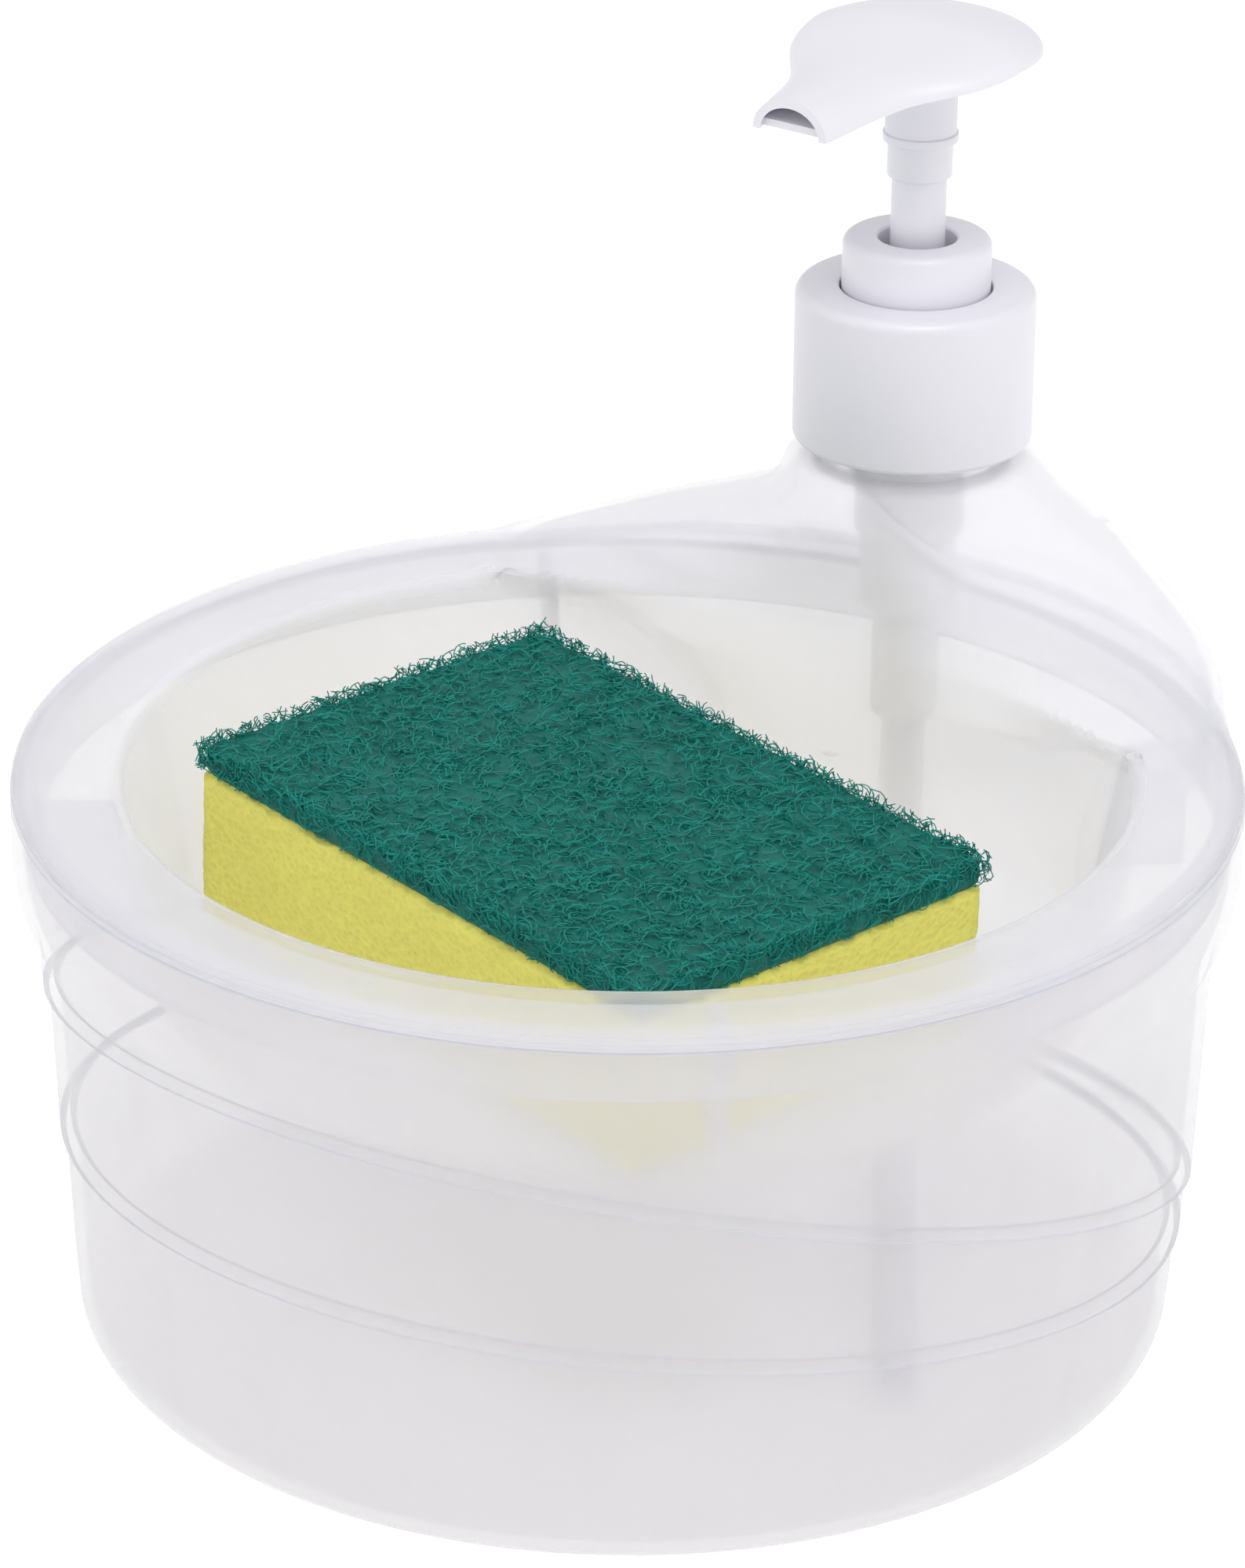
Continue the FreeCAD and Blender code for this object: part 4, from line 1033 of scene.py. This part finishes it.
def head_line():
    """Rows of station, half width and rise along the head, from its back to the spout's tip."""
    back = []
    for degrees in HEAD_BACK_DEGREES:
        turn = math.radians(degrees)
        share = math.cos(turn)
        back.append((HEAD_OFFSET + HEAD_RADIUS * math.sin(turn), HEAD_RADIUS * share, HEAD_RISE * share))
    return smooth_line(back + list(HEAD_LINE), HEAD_STATIONS)


def edge_height(station):
    """Height of the head's lower edge, which droops towards the spout."""
    return HEAD_EDGE - SPOUT_DROOP * max((station - HEAD_OFFSET) / (SPOUT_REACH - HEAD_OFFSET), 0)


def head_skin(inset):
    """Rows of points over the head, drawn in by a wall."""
    rows = []
    for station, half, rise in head_line():
        half = max(half - inset, 0)
        rise = max(rise - inset, 0)
        edge = edge_height(station)
        row = []
        for step in range(HEAD_ARCH_POINTS + 1):
            turn = math.pi * step / HEAD_ARCH_POINTS
            row.append((half * math.cos(turn), PUMP_Y - station, edge + rise * math.sin(turn)))
        rows.append(row)
    return rows


def head_cover(form):
    """The head's arched wall, open below and at the spout."""
    across = HEAD_ARCH_POINTS + 1
    count = across * HEAD_STATIONS
    faces = []
    for row in range(HEAD_STATIONS - 1):
        for step in range(HEAD_ARCH_POINTS):
            here = row * across + step
            quad = (here, here + 1, here + across + 1, here + across)
            faces.append(quad)
            faces.append(tuple(count + index for index in reversed(quad)))
        for step in (0, HEAD_ARCH_POINTS):
            here = row * across + step
            faces.append((here, here + across, count + here + across, count + here))
    last = (HEAD_STATIONS - 1) * across
    for step in range(HEAD_ARCH_POINTS):
        here = last + step
        faces.append((here, here + 1, count + here + 1, count + here))
    form.add([point for row in head_skin(0) + head_skin(HEAD_WALL) for point in row], faces)


def spout_floor(form):
    """The plate that closes the spout's channel from below."""
    plate = [row for row in head_line() if 0 < row[0] < SPOUT_REACH - PLATE_INSET]
    points = []
    for station, half, _ in plate:
        half = min(half, SPOUT_HALF_WIDTH) - HEAD_WALL / 2
        low = edge_height(station) + PLATE_INSET
        for x, z in ((-half, low), (half, low), (half, low + SPOUT_WALL), (-half, low + SPOUT_WALL)):
            points.append((x, PUMP_Y - station, z))
    form.add(points, sleeve_faces(4, len(plate)))


def head_sleeve(form):
    """The sleeve under the head, with a bead and three fine rings."""
    socket = (STEM_HIGH.x - STEM_LOW.x) / 2 + SOCKET_CLEARANCE
    bead_low = SLEEVE_BOTTOM + BEAD_RISE
    bead_high = bead_low + BEAD_HEIGHT
    top = HEAD_EDGE + HEAD_RISE - HEAD_WALL
    outline = [
        (socket, SLEEVE_BOTTOM),
        (SLEEVE_LOWER, SLEEVE_BOTTOM, SLEEVE_ROUND),
        (SLEEVE_LOWER, bead_low, BEAD_ROUND),
        (SLEEVE_BEAD, bead_low, BEAD_ROUND),
        (SLEEVE_BEAD, bead_high, BEAD_ROUND),
        (SLEEVE_UPPER, bead_high, BEAD_ROUND),
    ]
    for ring in range(RING_COUNT):
        level = HEAD_EDGE - RING_DROP + ring * RING_PITCH
        outline += [
            (SLEEVE_UPPER, level),
            (SLEEVE_BEAD, level + RING_SLOPE),
            (SLEEVE_BEAD, level + RING_HEIGHT - RING_SLOPE),
            (SLEEVE_UPPER, level + RING_HEIGHT),
        ]
    outline += [(SLEEVE_UPPER, top), (socket, top)]
    form.add(*turned(rounded(outline, 3), PUMP_Y))


def head_form():
    """The pump's head: cover, spout and sleeve."""
    form = Form()
    head_cover(form)
    spout_floor(form)
    head_sleeve(form)
    return form


def housing_form():
    """The stepped cylinder with its flange, valve seat, tube socket and slanting rib."""
    top, bottom = HOUSING_HIGH.z, HOUSING_LOW.z
    flange_low = top - FLANGE_THICKNESS
    upper_low = flange_low - UPPER_LENGTH
    lower_low = upper_low - LOWER_LENGTH
    chamber_floor = top - CHAMBER_DEPTH
    seat = chamber_floor - INLET_DEPTH
    socket_top = bottom + TUBE_SOCKET_DEPTH
    form = Form().add(*turned(rounded([
        (TUBE_OUTER, bottom),
        (CYLINDER_TAIL, bottom, TAIL_ROUND),
        (CYLINDER_TAIL, lower_low),
        (CYLINDER_LOWER, lower_low + LOWER_SLOPE, LOWER_ROUND),
        (CYLINDER_LOWER, upper_low),
        (CYLINDER_UPPER, upper_low + UPPER_SLOPE, UPPER_ROUND),
        (CYLINDER_UPPER, flange_low),
        (FLANGE_RADIUS, flange_low),
        (FLANGE_RADIUS, top),
        (CHAMBER_RADIUS, top),
        (CHAMBER_RADIUS, chamber_floor),
        (INLET_RADIUS, chamber_floor),
        (INLET_RADIUS, seat),
        (SEAT_RADIUS, seat - SEAT_DEPTH),
        (SEAT_RADIUS, socket_top),
        (TUBE_OUTER, socket_top),
    ], 4), PUMP_Y))
    points = []
    for step in range(SLANT_STEPS + 1):
        share = step / SLANT_STEPS
        angle = SLANT_START + SLANT_SWEEP * share
        level = flange_low - SLANT_DROP - SLANT_FALL * share
        for radius, rise in SLANT_SECTION:
            points.append((radius * math.cos(angle), PUMP_Y + radius * math.sin(angle), level + rise))
    return form.add(points, sleeve_faces(len(SLANT_SECTION), SLANT_STEPS + 1))


def swept(path, profile, closed=False):
    """A tube of a ring profile along a path of points."""
    points = []
    count = len(path)
    side = Vector((1, 0, 0))
    for index, place in enumerate(path):
        ahead = (path[min(index + 1, count - 1)] - path[max(index - 1, 0)]).normalized()
        side = (side - ahead * side.dot(ahead)).normalized()
        up = ahead.cross(side)
        points += [place + side * x + up * y for x, y in profile]
    faces = sleeve_faces(len(profile), count)
    return points, faces if closed else faces[2:]


def ring_profile(radius, sides):
    """Corners of a round section."""
    turns = [2 * math.pi * number / sides for number in range(sides)]
    return [(radius * math.cos(turn), radius * math.sin(turn)) for turn in turns]


def tube_form():
    """The dip tube: a straight drop, one bend and a run along the bowl's floor."""
    drop_steps, bend_steps, run_steps = 6, 24, 8
    ahead = Vector((math.sin(TUBE_HEADING), -math.cos(TUBE_HEADING), 0))
    low = TUBE_LOW.z + TUBE_OUTER
    top = TUBE_HIGH.z
    drop = low + TUBE_BEND - top
    run = TUBE_REACH - TUBE_BEND
    axis = Vector((0, PUMP_Y, 0))
    path = [axis + Vector((0, 0, top + drop * step / drop_steps)) for step in range(drop_steps)]
    for step in range(bend_steps + 1):
        turn = math.pi / 2 * step / bend_steps
        height = low + TUBE_BEND * (1 - math.sin(turn))
        path.append(axis + ahead * TUBE_BEND * (1 - math.cos(turn)) + Vector((0, 0, height)))
    for step in range(1, run_steps + 1):
        path.append(axis + ahead * (TUBE_BEND + run * step / run_steps) + Vector((0, 0, low)))
    outside, faces = swept(path, ring_profile(TUBE_OUTER, TUBE_SIDES))
    inside, lining = swept(path, ring_profile(TUBE_INNER, TUBE_SIDES))
    count = len(outside)
    faces += [tuple(count + index for index in reversed(face)) for face in lining]
    for start in (0, count - TUBE_SIDES):
        for corner in range(TUBE_SIDES):
            following = start + (corner + 1) % TUBE_SIDES
            faces.append((start + corner, following, count + following, count + start + corner))
    return Form().add(outside + inside, faces)


def spring_form():
    """The return spring's coil, with its wire."""
    radius = (SPRING_HIGH.x - SPRING_LOW.x) / 2 - WIRE_RADIUS
    low, high = SPRING_LOW.z + WIRE_RADIUS, SPRING_HIGH.z - WIRE_RADIUS
    steps = SPRING_TURN_STEPS * SPRING_TURNS
    path = []
    for step in range(steps + 1):
        angle = 2 * math.pi * SPRING_TURNS * step / steps
        level = low + (high - low) * step / steps
        path.append(Vector((radius * math.cos(angle), PUMP_Y + radius * math.sin(angle), level)))
    return Form().add(*swept(path, ring_profile(WIRE_RADIUS, WIRE_SIDES), True))


def sponge_place():
    """Where the sponge's own frame lies in the dish."""
    lift = SPONGE_LENGTH / 2 * math.sin(SPONGE_TILT) + SPONGE_SEAT_GAP
    spot = Matrix.Translation((SPONGE_X, SPONGE_Y, DISH_FLOOR + lift))
    return spot @ Matrix.Rotation(SPONGE_YAW, 4, "Z") @ Matrix.Rotation(SPONGE_TILT, 4, "Y")


def block_skin(low, high, corner, edge, step):
    """A block with rounded upright corners and soft edges: points, their outward directions, and faces."""
    half = Vector((SPONGE_LENGTH / 2, SPONGE_WIDTH / 2, (high - low) / 2))
    middle = Vector((0, 0, (high + low) / 2))
    counts = [max(int(round(2 * side / step)), 2) for side in half]
    core = Vector((half.x - corner, half.y - corner, half.z - edge))
    index = {}
    points, normals, faces = [], [], []

    def corner_of(key):
        if key in index:
            return index[key]
        raw = Vector([half[n] * (2 * key[n] / counts[n] - 1) for n in range(3)])
        beside = Vector((max(-core.x, min(core.x, raw.x)), max(-core.y, min(core.y, raw.y)), 0))
        flat = Vector((raw.x, raw.y, 0)) - beside
        reach = min(max(abs(flat.x), abs(flat.y)), corner)
        plan = beside + flat.normalized() * reach if reach > 0 else beside.copy()
        outward = flat.normalized() if reach > 0 else Vector((0, 0, 0))
        rise = raw.z - max(-core.z, min(core.z, raw.z))
        side_share = reach / corner
        if rise != 0:
            tuck = edge * (1 - math.sqrt(max(1 - (abs(rise) / edge) ** 2, 0)))
            plan -= outward * tuck * side_share
        normal = outward * side_share + Vector((0, 0, rise / edge if rise else 0))
        place = plan + Vector((0, 0, raw.z)) + middle
        index[key] = len(points)
        points.append(place)
        normals.append(normal.normalized() if normal.length > 0 else Vector((0, 0, 1)))
        return index[key]

    for axis in range(3):
        first, second = [n for n in range(3) if n != axis]
        for level in (0, counts[axis]):
            for i in range(counts[first]):
                for j in range(counts[second]):
                    quad = []
                    for di, dj in ((0, 0), (1, 0), (1, 1), (0, 1)):
                        key = [0, 0, 0]
                        key[axis], key[first], key[second] = level, i + di, j + dj
                        quad.append(corner_of(tuple(key)))
                    faces.append(tuple(quad))
    return points, normals, faces


def ripple(point, fineness, depth):
    """A smooth random rise or dent at a point of the sponge."""
    return noise.noise(point * fineness) * depth


def foam_form():
    """The foam block, with pores and soft dents pressed into its faces."""
    points, normals, faces = block_skin(0, FOAM_HEIGHT, SPONGE_CORNER, FOAM_EDGE, SPONGE_GRID)
    place = sponge_place()
    moved = []
    for point, normal in zip(points, normals):
        pores = ripple(point, fineness=900, depth=0.16 * MM)
        dents = ripple(point, fineness=60, depth=0.35 * MM)
        proud = 0.1 * MM
        moved.append(place @ (point + normal * (pores + dents + proud)))
    return Form().add(moved, faces)


def pad_form():
    """The matted slab under the loose fibres, flat where it is bonded to the foam."""
    low = PAD_LOW + PAD_LIFT
    points, normals, faces = block_skin(low, PAD_TOP - PAD_SINK, SPONGE_CORNER, PAD_EDGE, SPONGE_GRID)
    place = sponge_place()
    bonded = low + 0.1 * MM
    moved = []
    for point, normal in zip(points, normals):
        lumps = ripple(point, fineness=500, depth=0.3 * MM) + ripple(point, fineness=90, depth=0.3 * MM)
        sunk = 0.3 * MM
        share = 0.0 if point.z < bonded else 1.0
        moved.append(place @ (point + normal * (lumps - sunk) * share))
    return Form().add(moved, faces)


def top_root(chance):
    """A spot on the pad's top for a fibre, with the directions along, across and out of the pad."""
    half_length, half_width = SPONGE_LENGTH / 2, SPONGE_WIDTH / 2
    spot = Vector((
        chance.uniform(-half_length, half_length), chance.uniform(-half_width, half_width),
        PAD_TOP - chance.uniform(0.1, 0.9) * MM))
    return spot, Vector((1, 0, 0)), Vector((0, 1, 0)), Vector((0, 0, 1))


def edge_root(chance):
    """A spot on the pad's edge for a fibre, with the directions along, up and out of the pad."""
    half_length, half_width = SPONGE_LENGTH / 2, SPONGE_WIDTH / 2
    along = chance.uniform(0, 2 * (SPONGE_LENGTH + SPONGE_WIDTH))
    level = chance.uniform(PAD_LOW + 0.3 * MM, PAD_TOP)
    sunk = chance.uniform(0.0, 0.8) * MM
    up = Vector((0, 0, 1))
    if along < 2 * SPONGE_LENGTH:
        side = 1 if along < SPONGE_LENGTH else -1
        spot = Vector((along % SPONGE_LENGTH - half_length, side * (half_width - sunk), level))
        return spot, Vector((1, 0, 0)), up, Vector((0, side, 0))
    along -= 2 * SPONGE_LENGTH
    side = 1 if along < SPONGE_WIDTH else -1
    spot = Vector((side * (half_length - sunk), along % SPONGE_WIDTH - half_width, level))
    return spot, Vector((0, 1, 0)), up, Vector((side, 0, 0))


def in_pad(point):
    """Whether a fibre's point is above the foam and within the fuzz round the pad."""
    beside = abs(point.x) < SPONGE_LENGTH / 2 + FUZZ and abs(point.y) < SPONGE_WIDTH / 2 + FUZZ
    return beside and PAD_LOW + FIBRE_FOOT < point.z < PAD_TOP + FUZZ


def fibre_form(count, radius, seed, root):
    """Curly fibres that lie over the pad's top or round its edge, with ends that stand off it."""
    chance = random.Random(seed)
    place = sponge_place()
    profile = ring_profile(radius, FIBRE_SIDES)
    form = Form()
    for _ in range(count):
        spot, first, second, out = root(chance)
        heading = chance.uniform(0, 2 * math.pi)
        length = chance.uniform(1.3, 3.8) * MM
        curl = chance.uniform(-2.6, 2.6)
        lift = chance.uniform(-0.5, 0.55) * MM
        tip = chance.uniform(-0.6, 0.35) * MM
        path = [spot]
        for step in range(FIBRE_STEPS):
            turn = heading + curl * (step / FIBRE_STEPS - 0.5)
            spot = spot + (first * math.cos(turn) + second * math.sin(turn)) * (length / FIBRE_STEPS)
            share = (step + 1) / FIBRE_STEPS
            path.append(spot + out * (lift * math.sin(math.pi * share) + tip * share * share))
        path = [place @ point for point in path if in_pad(point)]
        if len(path) > 3:
            form.add(*swept(path, profile, True))
    return form


class CADDY_OT_stage(bpy.types.Operator):
    """Make the floor, the lights and the photograph's camera"""

    bl_idname = "caddy.stage"
    bl_label = "Stage"

    def execute(self, context):
        settings = context.scene.caddy_stage
        scene = context.scene
        self.add_floor(scene, settings)
        self.add_lights(scene, settings)
        self.add_camera(scene)
        scene.view_settings.view_transform = "Standard"
        scene.cycles.transparent_max_bounces = SKINS_SEEN_THROUGH
        return {"FINISHED"}

    def add_floor(self, scene, settings):
        mesh = bpy.data.meshes.new("floor")
        work = bmesh.new()
        bmesh.ops.create_grid(work, x_segments=FLOOR_SQUARES, y_segments=FLOOR_SQUARES, size=FLOOR_HALF)
        work.to_mesh(mesh)
        work.free()
        mesh.materials.append(floor_finish(settings.floor_colour))
        floor = bpy.data.objects.new("floor", mesh)
        floor.location.z = -FLOOR_SINK
        scene.collection.objects.link(floor)

    def add_lights(self, scene, settings):
        world = bpy.data.worlds.new("even_sky")
        world.use_nodes = True
        sky = world.node_tree.nodes["Background"]
        sky.inputs["Color"].default_value = (1, 1, 1, 1)
        sky.inputs["Strength"].default_value = settings.sky_strength
        scene.world = world
        lights = (
            ("key_light", settings.key_power, *KEY_LIGHT),
            ("fill_light", settings.fill_power, *FILL_LIGHT),
        )
        for name, power, size, place in lights:
            lamp = bpy.data.lights.new(name, "AREA")
            lamp.shape = "DISK"
            lamp.size = size
            lamp.energy = power
            made = bpy.data.objects.new(name, lamp)
            made.location = place
            made.rotation_mode = "QUATERNION"
            made.rotation_quaternion = (Vector((0, 0, VIEW_HEIGHT)) - made.location).to_track_quat("-Z", "Y")
            scene.collection.objects.link(made)

    def add_camera(self, scene):
        turn, lean = VIEW_AZIMUTH, VIEW_ELEVATION
        back = Vector((math.sin(turn) * math.cos(lean), -math.cos(turn) * math.cos(lean), math.sin(lean)))
        right = Vector((math.cos(turn), math.sin(turn), 0))
        yaw, pitch, roll = VIEW_TURNS
        axes = Matrix((right, back.cross(right), back))
        trim = Matrix.Rotation(roll, 3, "Z") @ Matrix.Rotation(pitch, 3, "X") @ Matrix.Rotation(yaw, 3, "Y")
        lens = bpy.data.cameras.new("photo_camera")
        lens.sensor_width = SENSOR
        lens.lens = FOCAL_PIXELS * SENSOR / PHOTO_HEIGHT
        camera = bpy.data.objects.new("photo_camera", lens)
        place = back * VIEW_DISTANCE + Vector((0, 0, VIEW_HEIGHT))
        camera.matrix_world = Matrix.Translation(place) @ (trim @ axes).transposed().to_4x4()
        scene.collection.objects.link(camera)
        scene.camera = camera


class CADDY_OT_bowl(bpy.types.Operator):
    """Make the milky reservoir bowl with its two slanting steps"""

    bl_idname = "caddy.bowl"
    bl_label = "Bowl"

    def execute(self, context):
        settings = context.scene.caddy_plastic
        finish = milky_finish(
            "milky_bowl", settings.bowl_colour, settings.bowl_milkiness, spread=0.3, roughness=0.32)
        # The ledge finish paints shade on the bowl's steps and lip with a darker colour.
        ledge = milky_finish(
            "milky_ledge_painted_shade", settings.ledge_shade_colour, settings.ledge_milkiness, spread=0.0, roughness=0.4)
        bowl_form().piece(
            "moulded_bowl", finish, "bowl", ["reservoir_bowl"], "milky_bowl",
            sharp=math.radians(28), edge_material=ledge)
        return {"FINISHED"}


class CADDY_OT_tray(bpy.types.Operator):
    """Make the milky sponge tray with the pump's boss blended into its rim"""

    bl_idname = "caddy.tray"
    bl_label = "Tray"

    def execute(self, context):
        settings = context.scene.caddy_plastic
        finish = milky_finish(
            "milky_tray", settings.tray_colour, settings.tray_milkiness, spread=0.4, roughness=0.32)
        edges = milky_finish(
            "milky_edges", settings.tray_colour, settings.edge_milkiness, spread=0.4, roughness=0.32)
        tray_form().piece("moulded_tray", finish, "tray", ["sponge_tray"], "milky_tray", edge_material=edges)
        return {"FINISHED"}


class CADDY_OT_pump(bpy.types.Operator):
    """Make the white pump: collar, lock ring, stem, head, housing and dip tube"""

    bl_idname = "caddy.pump"
    bl_label = "Pump"

    def execute(self, context):
        settings = context.scene.caddy_plastic
        white = pump_finish("white_pump", settings.pump_colour)
        natural = milky_finish(
            "natural_tube", settings.tray_colour, milkiness=0.45, spread=0.3, roughness=0.3)
        # The cylinder is painted lighter than the rest of the pump, as painted light inside the boss.
        cylinder = pump_finish("cylinder_painted_light", settings.cylinder_painted_light_colour)
        collar_form().piece("pump_collar", white, "collar", ["screw_collar"], "white_plastic")
        lock_ring_form().piece("pump_lock_ring", white, "pump_body", ["lock_ring"], "white_plastic")
        stem_form().piece("pump_stem_tube", white, "head", ["pump_stem"], "white_plastic")
        head_form().piece("pump_head_shell", white, "head", ["pump_head"], "white_plastic")
        housing_form().piece("pump_cylinder", cylinder, "pump_body", ["pump_housing"], "natural_plastic")
        tube_form().piece("pump_dip_tube", natural, "pump_body", ["dip_tube"], "natural_plastic")
        return {"FINISHED"}


class CADDY_OT_works(bpy.types.Operator):
    """Finish the pieces that work inside the pump"""

    bl_idname = "caddy.works"
    bl_label = "Inner works"

    def execute(self, context):
        steel = inner_finish("spring_wire", (0.55, 0.55, 0.57), roughness=0.3, metallic=1.0)
        finishes = {
            "neck_gasket": inner_finish("gasket_rubber", (0.75, 0.75, 0.76), roughness=0.6),
            "piston_seal": inner_finish("seal_plastic", (0.8, 0.8, 0.82), roughness=0.4),
            "plunger_plug": inner_finish("plug_plastic", (0.82, 0.82, 0.84), roughness=0.4),
            "inlet_ball": steel,
        }
        for node, finish in finishes.items():
            materials = frame["nodes"][node].data.materials
            materials.clear()
            materials.append(finish)
        coil = spring_form().piece("spring_coil", steel, "pump_body", ["return_spring"], "spring_steel")
        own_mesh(coil)
        return {"FINISHED"}


class CADDY_OT_sponge(bpy.types.Operator):
    """Make the foam block and the scouring pad with its fibres"""

    bl_idname = "caddy.sponge"
    bl_label = "Sponge"

    def execute(self, context):
        settings = context.scene.caddy_sponge
        porous = foam_finish(settings.foam_colour)
        foam = foam_form().piece("sponge_block", porous, "sponge", ["sponge_foam"], "yellow_foam")
        # The mat under the fibres is a darker copy of the fibres' finish, as painted shade beneath them.
        matted = pad_finish("pad_mat_painted_shade", settings.pad_colour, painted_brightness=0.6)
        pad = pad_form().piece("scouring_mat", matted, "sponge", ["scouring_pad"], "green_pad")
        strand = pad_finish("pad_fibres", settings.pad_colour, painted_brightness=1.0)
        radius, seed = settings.fibre_radius, settings.fibre_seed
        top = fibre_form(settings.top_fibres, radius, seed, top_root)
        top.piece("top_fibres", strand, "sponge", [], "green_pad")
        edge = fibre_form(settings.edge_fibres, radius, seed, edge_root)
        edge.piece("edge_fibres", strand, "sponge", [], "green_pad")
        return {"FINISHED"}


class CADDY_PT_sidebar(bpy.types.Panel):
    """The caddy's builders in the sidebar"""

    bl_label = "Soap pump caddy"
    bl_idname = "CADDY_PT_sidebar"
    bl_space_type = "VIEW_3D"
    bl_region_type = "UI"
    bl_category = "Caddy"

    def draw(self, context):
        for group in ("caddy_plastic", "caddy_sponge", "caddy_stage"):
            settings = getattr(context.scene, group)
            box = self.layout.box()
            for name in settings.__annotations__:
                box.prop(settings, name)
        for operator in OPERATORS:
            self.layout.operator(operator.bl_idname)


GROUPS = {"caddy_plastic": PlasticSettings, "caddy_sponge": SpongeSettings, "caddy_stage": StageSettings}
OPERATORS = (CADDY_OT_stage, CADDY_OT_bowl, CADDY_OT_tray, CADDY_OT_pump, CADDY_OT_works, CADDY_OT_sponge)


def register():
    for name, group in GROUPS.items():
        bpy.utils.register_class(group)
        setattr(bpy.types.Scene, name, PointerProperty(type=group))
    for operator in OPERATORS:
        bpy.utils.register_class(operator)
    bpy.utils.register_class(CADDY_PT_sidebar)


def unregister():
    bpy.utils.unregister_class(CADDY_PT_sidebar)
    for operator in reversed(OPERATORS):
        bpy.utils.unregister_class(operator)
    for name, group in reversed(GROUPS.items()):
        delattr(bpy.types.Scene, name)
        bpy.utils.unregister_class(group)


def main():
    register()
    for operator in (
            bpy.ops.caddy.stage, bpy.ops.caddy.bowl, bpy.ops.caddy.tray, bpy.ops.caddy.pump,
            bpy.ops.caddy.works, bpy.ops.caddy.sponge):
        operator()


if __name__ == "__main__":
    main()
